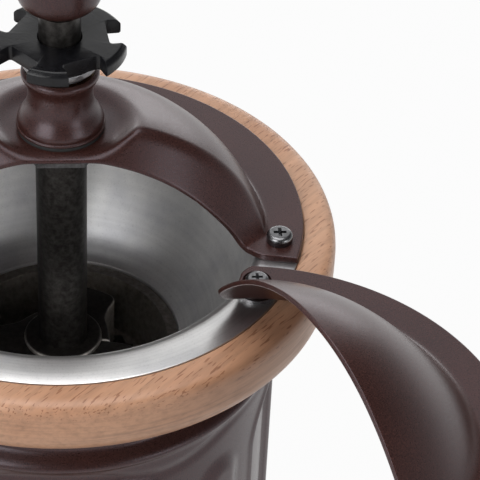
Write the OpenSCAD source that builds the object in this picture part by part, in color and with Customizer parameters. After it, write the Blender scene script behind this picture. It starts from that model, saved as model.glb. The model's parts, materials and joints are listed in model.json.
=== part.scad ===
// Hand cranked coffee mill: a beech plinth with a drawer, a cast drum, a beech ring,
// a steel hopper under a fixed half lid and a swinging half lid, and a crank on a burr spindle.
// Millimetres, +Z up. The origin is the middle of the underside. The drawer opens towards -Y.

/* [Fits] */
// Radial running clearance of a turning piece on its pin or in its bush
run_gap = 0.05; // [0.02:0.01:0.09]
// Clearance around a piece that is seated in another one
seat_gap = 0.2; // [0.1:0.05:0.4]
// Clearance between the drawer and its pocket
slide_gap = 0.5; // [0.3:0.1:1]

/* [Plinth] */
// Radius of the beech plinth
plinth_r = 64; // [62:0.5:70]
// Height of the beech plinth
plinth_h = 47; // [45:0.5:60]
// Rounding of the plinth's upper edge
plinth_round = 8; // [3:0.5:8.5]
// Rounding of the plinth's lower edge
plinth_foot_round = 3; // [1:0.5:4]
// Thickness of the anti-slip pad under the plinth
pad_t = 3; // [2:0.5:6]
// Distance from the plinth's side to the pad's edge
pad_inset = 8; // [5:0.5:14]
// Radius of the hole that the ground coffee drops through
drop_r = 31; // [24:0.5:34]

/* [Drawer] */
// Width of the drawer's front
drawer_w = 70; // [60:0.5:76]
// Height of the drawer's front
drawer_h = 33; // [28:0.5:36]
// Wood under the drawer's pocket
pocket_floor = 5; // [3:0.5:6]
// Thickness of the drawer's front at its middle
drawer_front_t = 14; // [13:0.5:20]
// Length of the drawer's box behind the front
drawer_len = 82; // [60:1:86]
// Thickness of the drawer's side walls
drawer_wall = 4; // [3:0.5:6]
// Thickness of the drawer's floor
drawer_bottom = 3; // [2:0.5:5]
// How far the box's walls end below the top of the front
drawer_drop = 6; // [3:0.5:12]
// Largest radius of the drawer's knob
pull_r = 9; // [7:0.5:12]
// Radius of the knob's foot
pull_foot_r = 6; // [4.5:0.5:6.5]
// Length of the knob
pull_l = 20; // [15:0.5:28]
// Depth of the flat seat of the knob in the front
pull_seat = 0.7; // [0.5:0.1:1.5]
// Radius of the knob's screw
pull_screw_r = 2; // [1.5:0.1:2.5]

/* [Drum] */
// Radius of the drum's straight wall
drum_r = 43.8; // [43:0.2:45]
// Height of the drum from the plinth to the beech ring
drum_h = 100; // [84:0.5:110]
// Wall of the casting
drum_wall = 3; // [2.5:0.1:3.5]
// How far the drum's foot reaches beyond its wall
drum_foot_w = 10.2; // [9.5:0.1:11]
// Thickness of the drum's foot
drum_foot_t = 4; // [3:0.5:6]
// Radius of the neck under the beech ring
neck_r = 41.5; // [41:0.1:42.5]
// Height of the neck
neck_h = 6.5; // [5:0.5:9]
// Height of the rounded shoulder under the neck
shoulder_h = 4; // [3:0.5:6]
// Radius of the drum's upper flange
drum_flange_r = 47; // [46.7:0.1:48]
// Thickness of the drum's upper flange
drum_flange_t = 3; // [2.5:0.1:4]
// Number of arched panels around the drum
panel_count = 6; // [4:1:6]
// Width of an arched panel
panel_w = 20; // [14:0.5:22]
// Height of an arched panel
panel_h = 56; // [40:1:58]
// Depth of an arched panel at its middle
panel_depth = 1.7; // [1.4:0.1:2]
// Drop of the panels' round tops below the shoulder
panel_drop = 7; // [5:0.5:12]
// Width of an oval boss between two panels
boss_w = 12; // [8:0.5:14]
// Height of an oval boss
boss_h = 26; // [16:0.5:30]
// How far an oval boss stands out
boss_out = 1.2; // [0.6:0.1:2]
// Drop of the bosses' tops below the shoulder
boss_drop = 10; // [5:0.5:20]

/* [Beech ring] */
// Outer radius of the beech ring
ring_r = 54.7; // [53:0.1:58]
// Height of the beech ring
ring_h = 13; // [12.8:0.1:18]
// Rounding of the ring's upper edge
ring_top_round = 4; // [2:0.1:4]
// Rounding of the ring's lower edge
ring_low_round = 8.5; // [4:0.1:8.5]

/* [Hopper] */
// Outer radius of the hopper's flange
flange_r = 48; // [47.5:0.1:48.4]
// Radius of the hopper's mouth
mouth_r = 38.7; // [38:0.1:39.2]
// Rounding of the mouth's edge
lip_round = 1.4; // [0.8:0.1:2]
// Depth of the bowl
bowl_depth = 30; // [26:0.5:34]
// How far the bowl's wall bulges
bowl_bulge = 2.5; // [1:0.1:4]
// Radius of the throat
throat_r = 24; // [23:0.1:25]
// Height of the straight throat
throat_h = 4; // [3:0.5:6]
// Width of the collar beyond the middle of the bridge's posts
collar_land = 5; // [4.5:0.1:6]
// Thickness of the sheet steel
sheet_t = 1.2; // [0.8:0.1:1.5]

/* [Burrs] */
// Wall of the ring burr's upper rim
burr_rim_t = 3; // [2:0.1:4]
// Thickness of the ring burr's flange
burr_flange_t = 5; // [4:0.5:7]
// Radius of the ring burr below its flange
burr_body_r = 25; // [24:0.1:26.2]
// Radius of the grinding cone at its top
grind_top_r = 16.6; // [16:0.1:17]
// Radius of the grinding cone at its lower end
grind_low_r = 19.6; // [19:0.1:20.5]
// Height of the grinding cone
grind_h = 12; // [10:0.5:14]
// Radial gap between the two burrs
grind_gap = 0.9; // [0.8:0.05:1.4]
// Number of teeth on a burr
tooth_count = 30; // [18:1:36]
// Depth of a tooth
tooth_depth = 1.2; // [0.6:0.1:1.6]
// Height of the feed vanes above the cone
vane_h = 11; // [8:0.5:12]
// Number of feed vanes
vane_count = 3; // [2:1:5]
// Radius that the feed vanes reach at their foot
vane_r = 14.6; // [12:0.1:15]
// Radius of the inner burr's hub
burr_hub_r = 8; // [7:0.1:9]
// Radius of the cross pin that drives the inner burr
burr_pin_r = 1.25; // [1:0.05:1.5]

/* [Bearing bridge] */
// Radius of the bridge's boss
bridge_boss_r = 9.5; // [8.5:0.1:12]
// Height of the bridge's boss
bridge_boss_h = 8; // [7:0.5:12]
// Width of an arm of the bridge
bridge_arm_w = 9; // [6:0.5:12]
// Thickness of an arm of the bridge
bridge_arm_t = 6; // [4:0.5:7]
// Radius of a post of the bridge
bridge_post_r = 4; // [3.6:0.1:4.4]
// Room between a post and the ring burr
post_room = 2; // [1.5:0.1:2.5]
// Room between the inner burr and the bridge
bridge_gap = 3; // [2:0.5:6]
// Radius of the bridge's screws
bridge_screw_r = 2; // [1.5:0.1:2.2]
// Wall of the bronze bushes
bush_wall = 1.4; // [1:0.1:2]
// Thickness of the lower bush's flange
bush_flange_t = 1; // [0.8:0.1:2]

/* [Spindle] */
// Radius of the spindle in the hopper
shaft_r = 5; // [4.6:0.1:5.4]
// Radius of the spindle's stem in the hub
stem_r = 4; // [3.6:0.1:4.2]
// Width of the square that drives the crank
square_w = 5.4; // [4.6:0.1:5.6]
// Radius of the stud on top of the square
stud_r = 2.5; // [2:0.1:2.6]
// Width of the key in the stem
key_w = 2; // [1.5:0.1:2.5]
// Depth of the key in the stem
key_d = 1.2; // [0.8:0.1:1.6]
// Length of the spindle under its circlip
tail_l = 2.5; // [2:0.5:6]
// Thickness of the spring's washer
spring_washer_t = 1.2; // [0.8:0.1:2]
// Thickness of the circlip
clip_t = 1.2; // [0.8:0.1:1.6]
// Depth of the circlip's groove
clip_groove = 0.8; // [0.5:0.1:1.2]
// Width of the circlip's ring
clip_w = 2.4; // [2:0.1:3]

/* [Spring] */
// Length of the spring at rest
spring_l = 13; // [11:0.5:18]
// Radius of the spring's middle line
spring_r = 7.4; // [7:0.1:8]
// Radius of the spring's wire
wire_r = 0.8; // [0.5:0.05:0.9]
// Turns of the spring
spring_turns = 5; // [3:0.5:6]

/* [Lids] */
// Thickness of the fixed lid's rim
rim_t = 1.5; // [1.2:0.1:3]
// Wall of the lids
lid_wall = 2; // [1.5:0.1:2.4]
// Radius of the fixed dome at its foot
dome_r = 40; // [39.5:0.1:40.5]
// Height of the fixed dome
dome_h = 29.4; // [28:0.1:31]
// Distance of the fixed dome's middle in front of the spindle
dome_y = 4.6; // [2:0.1:6]
// Fullness of the fixed dome, a half is an ellipse and more is slimmer
dome_power = 0.63; // [0.5:0.01:0.7]
// Radius of the swinging dome at its foot
swing_r = 40; // [39:0.1:41]
// How far the swinging lid's arch stands over the fixed one
swing_rise = 3; // [2:0.1:4]
// Height of the platform and of the top of the arch
arch_h = 23.2; // [21:0.1:24]
// Half the width of the arch at its foot
arch_half = 37; // [36:0.5:38]
// Distance of the arch in front of the spindle
arch_y = 10.5; // [9.5:0.1:11]
// Radius of the flat platform
platform_r = 10; // [9.8:0.1:11]
// Radius where the platform's dish meets the dome
dish_r = 15.5; // [14:0.1:17]
// Height of the soft fillet between dome and rim
dome_fillet = 3; // [2:0.5:5]
// How far that fillet runs out on the rim
dome_flare = 0.6; // [0.3:0.1:0.8]
// Slope of the fixed lid's front
fascia_angle = 54; // [45:0.5:58]
// Angle of the fixed lid's ends in front of the X axis
lid_end_angle = 18; // [17:0.1:20]
// Gap between the two lids
lid_gap = 0.8; // [0.5:0.1:1.2]
// Angle of the fixed lid's screws in front of the X axis
lid_screw_angle = 12; // [11:0.1:13]
// Distance of the lid screws from the middle
lid_screw_d = 43.6; // [43:0.1:45]
// Angle of the swinging lid's pivot in front of the X axis
pivot_angle = 31.5; // [29:0.1:33]
// Radius of the swinging lid's pad around its pivot
pad_r = 4.4; // [4:0.1:5]
// Thickness of the swinging lid's rim
swing_t = 2.4; // [2:0.1:3]
// Depth of the seat of the pivot screw's head in the pad
pivot_seat = 1.2; // [0.8:0.1:1.4]
// Thickness of the washer under the pad
pivot_washer_t = 0.8; // [0.5:0.1:1.2]
// Radius of the washer under the pad
pivot_washer_r = 3.8; // [3.2:0.1:4]
// Angle by which the swinging lid stands open
lid_open = 116.2; // [0:0.1:120]
// Radius of the lid screws
lid_screw_r = 1.6; // [1.3:0.05:1.8]
// Radius of the lid screws' heads
lid_head_r = 2.5; // [2.3:0.1:2.6]
// Height of the lid screws' heads
lid_head_h = 2; // [1.4:0.1:2.4]

/* [Hub] */
// Thickness of the gasket under the hub
gasket_t = 0.7; // [0.4:0.1:1.2]
// Height of the hub
hub_h = 13.1; // [12:0.1:16]
// Largest radius of the hub
hub_r = 8.3; // [8:0.1:9]
// Radius of the hub's neck
hub_neck_r = 6.4; // [6.2:0.1:7]
// Radius of the hub's collar
hub_collar_r = 7.4; // [7:0.1:8]
// Radius of the hub's threaded spigot
spigot_r = 6.6; // [6.4:0.1:7]
// Thickness of the nut under the platform
hub_nut_t = 2.3; // [2:0.1:3]
// Radius of that nut across its corners
hub_nut_r = 9; // [8.4:0.1:9.4]

/* [Adjusting wheel] */
// Thickness of the keyed washer under the wheel
key_washer_t = 2.4; // [0.8:0.1:3]
// Radius of the keyed washer
key_washer_r = 7.2; // [6:0.1:7.4]
// Height of the wheel's lower boss
wheel_boss_h = 1.6; // [0.5:0.1:3]
// Radius of the wheel's lower boss
wheel_boss_r = 7.4; // [7:0.1:8.8]
// Radius of the wheel's teeth
wheel_r = 12.7; // [12:0.1:15]
// Thickness of the wheel
wheel_t = 3.1; // [2.5:0.1:5]
// Number of notches
notch_count = 5; // [4:1:6]
// Radius of the notches' floor
notch_floor_r = 8.9; // [8.9:0.1:10]
// Width of a notch
notch_w = 7.8; // [3:0.1:8]
// Angle of the first notch
notch_turn = 7; // [0:1:71]

/* [Crank] */
// Room between the wheel and the crank
crank_gap = 4; // [2:0.1:8]
// Height of the crank's hub
crank_hub_h = 15.5; // [15:0.5:20]
// Largest radius of the crank's hub
crank_hub_r = 8.3; // [7.5:0.1:10]
// Radius of the crank's hub at its lower end
crank_foot_r = 5.8; // [4.8:0.1:6]
// Length of the crank from spindle to knob
crank_l = 105; // [80:1:130]
// Thickness of the crank's arm
arm_t = 6; // [4:0.5:7]
// Width of the arm at the hub
arm_w = 13; // [10:0.5:16]
// Width of the arm at the knob
arm_end_w = 9; // [8:0.5:12]
// Radius of the arm's eye
arm_eye_r = 7.5; // [7:0.1:9]
// Height of the hub's top above the arm
arm_down = 1.5; // [1:0.5:3]
// Depth of the round seat in the crank's hub
crank_seat = 1.5; // [1:0.1:2]
// Direction of the crank, from the X axis
crank_turn = 160; // [0:1:359]
// Thickness of the washer on the crank
crank_washer_t = 1; // [0.8:0.1:2]
// Radius of that washer
crank_washer_r = 6; // [5.5:0.1:7]
// Radius of the cap nut across its corners
cap_nut_r = 5.2; // [4.6:0.1:6]
// Height of the cap nut's hexagon
cap_nut_h = 4.5; // [3.5:0.1:6]

/* [Crank knob] */
// Height of the beech knob
knob_h = 36; // [30:0.5:45]
// Largest radius of the knob
knob_r = 14; // [12:0.5:17]
// Radius of the knob's foot
knob_foot_r = 8.5; // [8:0.1:10]
// Radius of the pin that the knob turns on
knob_pin_r = 3.5; // [2.5:0.1:4]
// Radius of the pin's heads
knob_head_r = 5.5; // [5:0.1:6]
// Thickness of the pin's heads
knob_head_t = 2; // [1.5:0.1:3]
// Depth of the recess for the pin's upper head
knob_recess = 6; // [5.5:0.1:8]
// Thickness of the washer under the knob
knob_washer_t = 0.8; // [0.5:0.1:1.5]
// Height of the plug over the pin
knob_plug_h = 3; // [2.5:0.1:3.3]

/* [Screws] */
// Radius of the drum's wood screws
foot_screw_r = 1.5; // [1.2:0.1:2]
// Radius of the drum's screw heads
foot_head_r = 3; // [2.5:0.1:3.4]
// Height of the drum's screw heads
foot_head_h = 2; // [1.5:0.1:2.5]
// Length of the drum's screws in the wood
foot_screw_l = 6; // [4:0.5:7]
// Radius of the ring's screw heads
ring_head_r = 2.4; // [2:0.1:2.5]
// Length of the ring's screws in the wood
ring_screw_l = 8; // [5:0.5:9]
// Radius of the bridge screws' heads
bridge_head_r = 3.6; // [3:0.1:4]
// Height of the bridge screws' heads
bridge_head_h = 3; // [2:0.1:4]
// Thickness of the bridge screws' nuts
bridge_nut_t = 3.2; // [2.4:0.1:3.6]
// Radius of the bridge screws' nuts across their corners
bridge_nut_r = 3.6; // [3.2:0.1:3.8]

/* [Hidden] */
$fn = 96;

bronze = "#4d4045";
beech = "#d6ab85";
steel = "#c6c7cb";
iron = "#35312f";
oxide = "#26272b";
brass = "#b08d4a";
zinc = "#6e6f75";
rubber = "#1d1d1f";

// Levels, from the table upwards
seat_z = pad_t + plinth_h;
ring_z = seat_z + drum_h;
rim_z = ring_z + ring_h;
throat_z = rim_z - bowl_depth - throat_h;
collar_z = throat_z - sheet_t;
burr_flange_z = collar_z - burr_flange_t;
grind_top_z = rim_z - bowl_depth - vane_h - 1;
burr_low_z = grind_top_z - grind_h;
bridge_top_z = burr_low_z - bridge_gap;
bridge_low_z = bridge_top_z - bridge_boss_h;
spring_top_z = bridge_low_z - bush_flange_t;
spring_low_z = spring_top_z - spring_l;
clip_z = spring_low_z - spring_washer_t - clip_t;
tail_z = clip_z - tail_l;
platform_z = rim_z + arch_h;
hub_z = platform_z + gasket_t;
spigot_z = platform_z - lid_wall - hub_nut_t;
hub_top_z = hub_z + hub_h;
wheel_z = hub_top_z + key_washer_t;
wheel_top_z = wheel_z + wheel_boss_h + wheel_t;
crank_z = wheel_top_z + crank_gap;
crank_top_z = crank_z + crank_hub_h;
arm_z = crank_top_z - arm_down - arm_t;
knob_z = arm_z + arm_t + knob_washer_t;
pocket_z = pad_t + pocket_floor;
swing_z = rim_z + pivot_washer_t;

// Radii and places that follow from the driving sizes
ring_bore_r = mouth_r + sheet_t + 2*seat_gap;
drum_foot_r = drum_r + drum_foot_w;
bridge_post_d = post_room + max(burr_body_r + bridge_post_r, throat_r + sheet_t + bridge_nut_r);
collar_r = bridge_post_d + collar_land;
chamber_r = throat_r - seat_gap - burr_rim_t;
bush_r = stem_r + run_gap + bush_wall;
lower_bush_r = shaft_r + run_gap + bush_wall;
foot_screw_d = (drum_foot_r + drum_r + drum_wall)/2;
ring_screw_d = (neck_r + drum_flange_r)/2;
pivot = [lid_screw_d*cos(pivot_angle), -lid_screw_d*sin(pivot_angle), 0];
front_y = -plinth_r + drawer_front_t;
pull_y = -plinth_r + pull_seat;
pull_z = pocket_z + drawer_h/2;
pocket_back_y = front_y + drawer_len + 2*slide_gap;
tooth_slope = (grind_low_r - grind_top_r)/grind_h;
pad_angle = asin(pad_r/lid_screw_d);
split_y = -arch_y;
swing_edge_y = split_y - lid_gap;
panel_top_z = ring_z - drum_flange_t - neck_h - shoulder_h - panel_drop;
boss_top_z = ring_z - drum_flange_t - neck_h - shoulder_h - boss_drop;
// The fixed lid's sloping front is a tilted cylinder whose section gives the arch
fascia_sag = arch_h*cos(fascia_angle);
fascia_r = (arch_half*arch_half + fascia_sag*fascia_sag)/(2*fascia_sag);
// The swinging lid is part of a sphere through the top of its arch and the foot of the dome
ball_top = arch_h + swing_rise;
ball_foot = pivot_washer_t + swing_t;
ball_z = (ball_top*ball_top + swing_edge_y*swing_edge_y - swing_r*swing_r - ball_foot*ball_foot)
  /(2*(ball_top - ball_foot));
ball_r = sqrt(swing_r*swing_r + (ball_foot - ball_z)*(ball_foot - ball_z));
far = 200;
eps = 0.01;

// Points on an arc about a centre in the plane of a profile
function arc_pts(c, r, a0, a1, n = 6) =
  [for (i = [0:n]) let (a = a0 + (a1 - a0)*i/n) [c[0] + r*cos(a), c[1] + r*sin(a)]];

// Points on a shallow curve from p to q that bulges by s to the left of its direction
function bow_pts(p, q, s, n = 8) =
  let (d = q - p, side = [-d[1], d[0]]/norm(d))
  [for (i = [0:n]) let (t = i/n) p + d*t + side*4*s*t*(1 - t)];

module revolve(points, z = 0) {
  translate([0, 0, z])
    rotate_extrude()
      polygon(points);
}

module ring(outer_r, inner_r, h, z) {
  translate([0, 0, z])
    difference() {
      cylinder(r = outer_r, h = h);
      translate([0, 0, -eps])
        cylinder(r = inner_r, h = h + 2*eps);
    }
}

module bore(r, z0, z1) {
  translate([0, 0, z0])
    cylinder(r = r, h = z1 - z0);
}

// A rounded screw head with a cross recess, and a plain shank below it
module pan_screw(head_r, head_h, shank_r, shank_l) {
  crown = head_h*0.6;
  difference() {
    union() {
      revolve(concat([[0, 0], [head_r, 0]], arc_pts([head_r - crown, head_h - crown], crown, 0, 90),
        [[0, head_h]]));
      translate([0, 0, -shank_l])
        cylinder(r = shank_r, h = shank_l + head_h/4);
    }
    for (a = [0, 90])
      rotate(a)
        translate([-head_r*0.6, -head_r*0.12, head_h*0.45])
          cube([head_r*1.2, head_r*0.24, head_h]);
  }
}

module at_angles(angles, d, z) {
  for (a = angles)
    rotate(a)
      translate([d, 0, z])
        children();
}

lid_screw_angles = [-lid_screw_angle, 180 + lid_screw_angle];
through_angles = concat(lid_screw_angles, [-pivot_angle]);
foot_screw_angles = [45, 135, 225, 315];
ring_screw_angles = [30, 90, 150, 240, 290];
post_angles = [60, 180, 300];

module plinth_body(inset = 0) {
  r = plinth_r - inset;
  low = plinth_foot_round;
  high = plinth_round;
  revolve(concat([[0, 0]], arc_pts([r - low, low], low, -90, 0),
    arc_pts([r - high, plinth_h - high], high, 0, 90), [[0, plinth_h]]), pad_t);
}

module base_pad() {
  color(rubber)
    cylinder(r = plinth_r - pad_inset, h = pad_t);
}

module plinth() {
  color(beech)
    difference() {
      plinth_body();
      translate([-drawer_w/2, -far, pocket_z])
        cube([drawer_w, far + pocket_back_y, drawer_h]);
      bore(drop_r, pocket_z + drawer_h - eps, seat_z + eps);
      at_angles(foot_screw_angles, foot_screw_d, seat_z - foot_screw_l)
        cylinder(r = foot_screw_r, h = foot_screw_l + eps);
    }
}

module arch_panel() {
  r = panel_w/2;
  translate([-r, -panel_h])
    square([panel_w, panel_h - r]);
  translate([0, -r])
    circle(r);
}

module oval_boss() {
  r = boss_w/2;
  translate([-r, -boss_h + r])
    square([boss_w, boss_h - boss_w]);
  translate([0, -r])
    circle(r);
  translate([0, r - boss_h])
    circle(r);
}

// Draws an outline on the drum's side, with its top at z, from radius r outwards
module on_drum(angle, r, z, depth) {
  rotate(angle)
    translate([r, 0, z])
      rotate([90, 0, 90])
        linear_extrude(depth)
          children();
}

module drum_outside() {
  top = drum_h;
  neck_top = top - drum_flange_t;
  neck_low = neck_top - neck_h;
  wall_top = neck_low - shoulder_h;
  foot_edge = drum_foot_t/2;
  foot_flare = drum_r + drum_wall/2;
  revolve(concat([[0, 0]],
    arc_pts([drum_foot_r - foot_edge, foot_edge], foot_edge, -90, 90),
    bow_pts([foot_flare, drum_foot_t], [drum_r, drum_foot_t + 2*drum_wall], 0.6, 4),
    bow_pts([drum_r, wall_top], [neck_r, neck_low], -0.9, 5),
    [[neck_r, neck_top], [drum_flange_r, neck_top], [drum_flange_r, top], [0, top]]), seat_z);
}

module drum_inside() {
  wall_top = ring_z - drum_flange_t - neck_h - shoulder_h;
  revolve([[0, seat_z - 1], [drum_r - drum_wall, seat_z - 1], [drum_r - drum_wall, wall_top - drum_wall],
    [neck_r - drum_wall, wall_top], [neck_r - drum_wall, ring_z + 1], [0, ring_z + 1]]);
}

module drum() {
  panel_step = 360/panel_count;
  color(bronze)
    difference() {
      union() {
        drum_outside();
        for (i = [0:panel_count - 1])
          on_drum(-45 + i*panel_step, drum_r - drum_wall/2, boss_top_z, drum_wall/2 + boss_out)
            oval_boss();
      }
      drum_inside();
      for (i = [0:panel_count - 1])
        on_drum(-45 + (i + 0.5)*panel_step, drum_r - panel_depth, panel_top_z, 2*panel_depth)
          arch_panel();
      at_angles(foot_screw_angles, foot_screw_d, seat_z - eps)
        cylinder(r = foot_screw_r + seat_gap, h = drum_foot_t + 2*eps);
      at_angles(through_angles, lid_screw_d, ring_z - drum_flange_t - eps)
        cylinder(r = lid_screw_r + eps, h = drum_flange_t + 2*eps);
      at_angles(ring_screw_angles, ring_screw_d, ring_z - drum_flange_t - eps)
        cylinder(r = foot_screw_r + seat_gap, h = drum_flange_t + 2*eps);
    }
}

module drum_screws() {
  color(zinc)
    at_angles(foot_screw_angles, foot_screw_d, seat_z + drum_foot_t)
      pan_screw(foot_head_r, foot_head_h, foot_screw_r, drum_foot_t + foot_screw_l);
}

module top_ring() {
  seat_r = flange_r + seat_gap;
  color(beech)
    difference() {
      revolve(concat([[ring_bore_r, 0]],
        arc_pts([ring_r - ring_low_round, ring_low_round], ring_low_round, -90, 0, 10),
        arc_pts([ring_r - ring_top_round, ring_h - ring_top_round], ring_top_round, 0, 90, 8),
        [[seat_r, ring_h], [seat_r, ring_h - sheet_t], [ring_bore_r, ring_h - sheet_t]]), ring_z);
      at_angles(through_angles, lid_screw_d, ring_z - eps)
        cylinder(r = lid_screw_r + seat_gap, h = ring_h);
      at_angles(ring_screw_angles, ring_screw_d, ring_z - eps)
        cylinder(r = foot_screw_r, h = ring_screw_l);
    }
}

module ring_screws() {
  color(zinc)
    at_angles(ring_screw_angles, ring_screw_d, ring_z - drum_flange_t)
      rotate([180, 0, 0])
        pan_screw(ring_head_r, foot_head_h, foot_screw_r, drum_flange_t + ring_screw_l - 2*eps);
}

// The bowl's wall, from the mouth down to the throat, moved outwards by d
function bowl_pts(d) =
  bow_pts([mouth_r + d, -lip_round - d/2], [throat_r + d, -bowl_depth], bowl_bulge);

function reversed(list) = [for (i = [len(list) - 1:-1:0]) list[i]];

module hopper() {
  lip = arc_pts([mouth_r + lip_round, -lip_round], lip_round, 90, 180, 5);
  foot = -bowl_depth - throat_h;
  color(steel)
    difference() {
      revolve(concat([[flange_r, 0]], lip, bowl_pts(0),
        [[throat_r, foot - sheet_t], [collar_r, foot - sheet_t], [collar_r, foot]],
        [[throat_r + sheet_t, foot]], reversed(bowl_pts(sheet_t)),
        [[mouth_r + sheet_t, -sheet_t], [flange_r, -sheet_t]]), rim_z);
      at_angles(through_angles, lid_screw_d, rim_z - 2*sheet_t)
        cylinder(r = lid_screw_r + seat_gap, h = 3*sheet_t);
      at_angles(post_angles, bridge_post_d, collar_z - sheet_t)
        cylinder(r = bridge_screw_r + seat_gap, h = 3*sheet_t);
    }
}

// A ring of saw teeth between two radii
module tooth_ring(outer_r, inner_r) {
  step = 360/tooth_count;
  polygon([for (i = [0:tooth_count - 1], j = [0, 1])
    let (a = (i + 0.7*j)*step, r = j == 0 ? inner_r : outer_r) [r*cos(a), r*sin(a)]]);
}

module ring_burr() {
  top_z = rim_z - bowl_depth - 1;
  ledge_r = grind_top_r + 1.5*tooth_depth;
  color(iron)
    difference() {
      union() {
        bore(throat_r - seat_gap, collar_z, top_z);
        bore(collar_r, burr_flange_z, collar_z);
        bore(burr_body_r, burr_low_z, burr_flange_z + eps);
      }
      revolve([[0, grind_top_z], [ledge_r, grind_top_z], [chamber_r, top_z - burr_rim_t],
        [chamber_r + 1, top_z + 1], [0, top_z + 1]]);
      translate([0, 0, burr_low_z - 1])
        linear_extrude(grind_h + 2, scale = (grind_top_r - tooth_slope)/(grind_low_r + tooth_slope))
          tooth_ring(grind_low_r + tooth_slope + tooth_depth, grind_low_r + tooth_slope);
      at_angles(post_angles, bridge_post_d, burr_flange_z - eps)
        cylinder(r = bridge_screw_r + seat_gap, h = burr_flange_t + 2*eps);
    }
}

module bearing_bridge() {
  arm_z0 = bridge_top_z - bridge_arm_t;
  color(iron)
    difference() {
      union() {
        bore(bridge_boss_r, bridge_low_z, bridge_top_z);
        for (a = post_angles)
          rotate(a)
            translate([0, -bridge_arm_w/2, arm_z0])
              cube([bridge_post_d, bridge_arm_w, bridge_arm_t]);
        at_angles(post_angles, bridge_post_d, arm_z0)
          cylinder(r = bridge_arm_w/2, h = bridge_arm_t);
        at_angles(post_angles, bridge_post_d, arm_z0)
          cylinder(r = bridge_post_r, h = burr_flange_z - arm_z0);
      }
      bore(lower_bush_r, bridge_low_z - eps, bridge_top_z + eps);
      at_angles(post_angles, bridge_post_d, arm_z0 - eps)
        cylinder(r = bridge_screw_r + seat_gap, h = far);
    }
}

module lower_bush() {
  color(brass)
    difference() {
      union() {
        bore(lower_bush_r, bridge_low_z - eps, bridge_top_z);
        bore(bridge_boss_r - seat_gap, spring_top_z, bridge_low_z);
      }
      bore(shaft_r + run_gap, spring_top_z - eps, bridge_top_z + eps);
    }
}

module bridge_screws() {
  low_z = bridge_top_z - bridge_arm_t;
  grip = collar_z + sheet_t + bridge_nut_t - low_z;
  color(zinc)
    at_angles(post_angles, bridge_post_d, low_z)
      rotate([180, 0, 0])
        pan_screw(bridge_head_r, bridge_head_h, bridge_screw_r, grip);
}

module bridge_nuts() {
  color(zinc)
    at_angles(post_angles, bridge_post_d, collar_z + sheet_t)
      difference() {
        cylinder(r = bridge_nut_r, h = bridge_nut_t, $fn = 6);
        translate([0, 0, -eps])
          cylinder(r = bridge_screw_r + eps, h = bridge_nut_t + 2*eps);
      }
}

// The spring's middle line, eight points to a turn
spring_steps = round(spring_turns*8);
spring_rise = spring_l - 2*wire_r - seat_gap;
function spring_pt(i) =
  [spring_r*cos(45*i), spring_r*sin(45*i), spring_low_z + wire_r + seat_gap/2 + spring_rise*i/spring_steps];
function spring_rim(i, j) =
  spring_pt(i) + wire_r*[cos(60*j)*cos(45*i), cos(60*j)*sin(45*i), sin(60*j)];
spring_self_gap = min([for (i = [0:spring_steps], k = [0:spring_steps])
  if (k - i >= 5) norm(spring_pt(k) - spring_pt(i))]) - 2*wire_r;
echo(spring_self_gap = spring_self_gap);

module spindle_spring() {
  last = 6*spring_steps;
  sides = [for (i = [0:spring_steps - 1], j = [0:5], half = [0, 1])
    let (a = 6*i + j, b = 6*i + (j + 1)%6, c = a + 6, d = b + 6)
    half == 0 ? [a, c, b] : [b, c, d]];
  ends = [for (j = [1:4], end = [0, 1]) end == 0 ? [0, j, j + 1] : [last, last + j + 1, last + j]];
  color(steel)
    polyhedron([for (i = [0:spring_steps], j = [0:5]) spring_rim(i, j)], concat(sides, ends));
}

// The fixed dome's profile from its foot to its crown, drawn in by d on every side
function dome_pts(d) =
  [for (i = [0:14]) let (a = 90*i/14) [(dome_r - d)*cos(a), (dome_h - d)*pow(sin(a), 2*dome_power)]];

module dome_solid() {
  flare = [dome_r + dome_flare, rim_t/2];
  dome = [for (p = dome_pts(0)) if (p[1] > rim_t + dome_fillet) p];
  translate([0, -dome_y, 0])
    revolve(concat([[0, rim_t/2]], bow_pts(flare, dome[0], 0.5, 4), dome), rim_z);
}

module dome_hollow() {
  translate([0, -dome_y, 0])
    revolve(concat([[0, -1], [dome_r - lid_wall, -1]], dome_pts(lid_wall)), rim_z);
}

// The room above the platform that the hub stands in, widened downwards by d
module hub_dish(d) {
  top = dome_h + 2;
  side = bow_pts([platform_r + d, arch_h - d], [dish_r + d, top], -0.4, 3);
  revolve(concat([[0, arch_h - d]], side, [[0, top]]), rim_z);
}

// All that lies under the fixed lid's sloping front, drawn in by d
module under_fascia(d) {
  translate([0, split_y + fascia_r*sin(fascia_angle), platform_z - fascia_r*cos(fascia_angle)])
    rotate([fascia_angle - 90, 0, 0])
      cylinder(r = fascia_r - d, h = far, center = true);
}

module lid_sector(a0, a1, inner_r, z, h) {
  translate([0, 0, z])
    rotate(a0)
      rotate_extrude(angle = a1 - a0)
        translate([inner_r, 0])
          square([flange_r - inner_r, h]);
}

module bridge_lid() {
  color(bronze)
    difference() {
      union() {
        intersection() {
          difference() {
            dome_solid();
            hub_dish(0);
          }
          under_fascia(0);
          translate([-far/2, split_y, rim_z])
            cube([far, far, far]);
        }
        lid_sector(-lid_end_angle, 180 + lid_end_angle, mouth_r - lid_wall, rim_z, rim_t);
      }
      intersection() {
        difference() {
          dome_hollow();
          hub_dish(lid_wall);
        }
        under_fascia(lid_wall);
      }
      bore(spigot_r + seat_gap, platform_z - 2*lid_wall, platform_z + 1);
      at_angles(lid_screw_angles, lid_screw_d, rim_z - eps)
        cylinder(r = lid_screw_r + seat_gap, h = rim_t + 2*eps);
    }
}

module bridge_lid_screws() {
  color(zinc)
    at_angles(lid_screw_angles, lid_screw_d, rim_z + rim_t)
      pan_screw(lid_head_r, lid_head_h, lid_screw_r, rim_t + ring_h + drum_flange_t);
}

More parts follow.
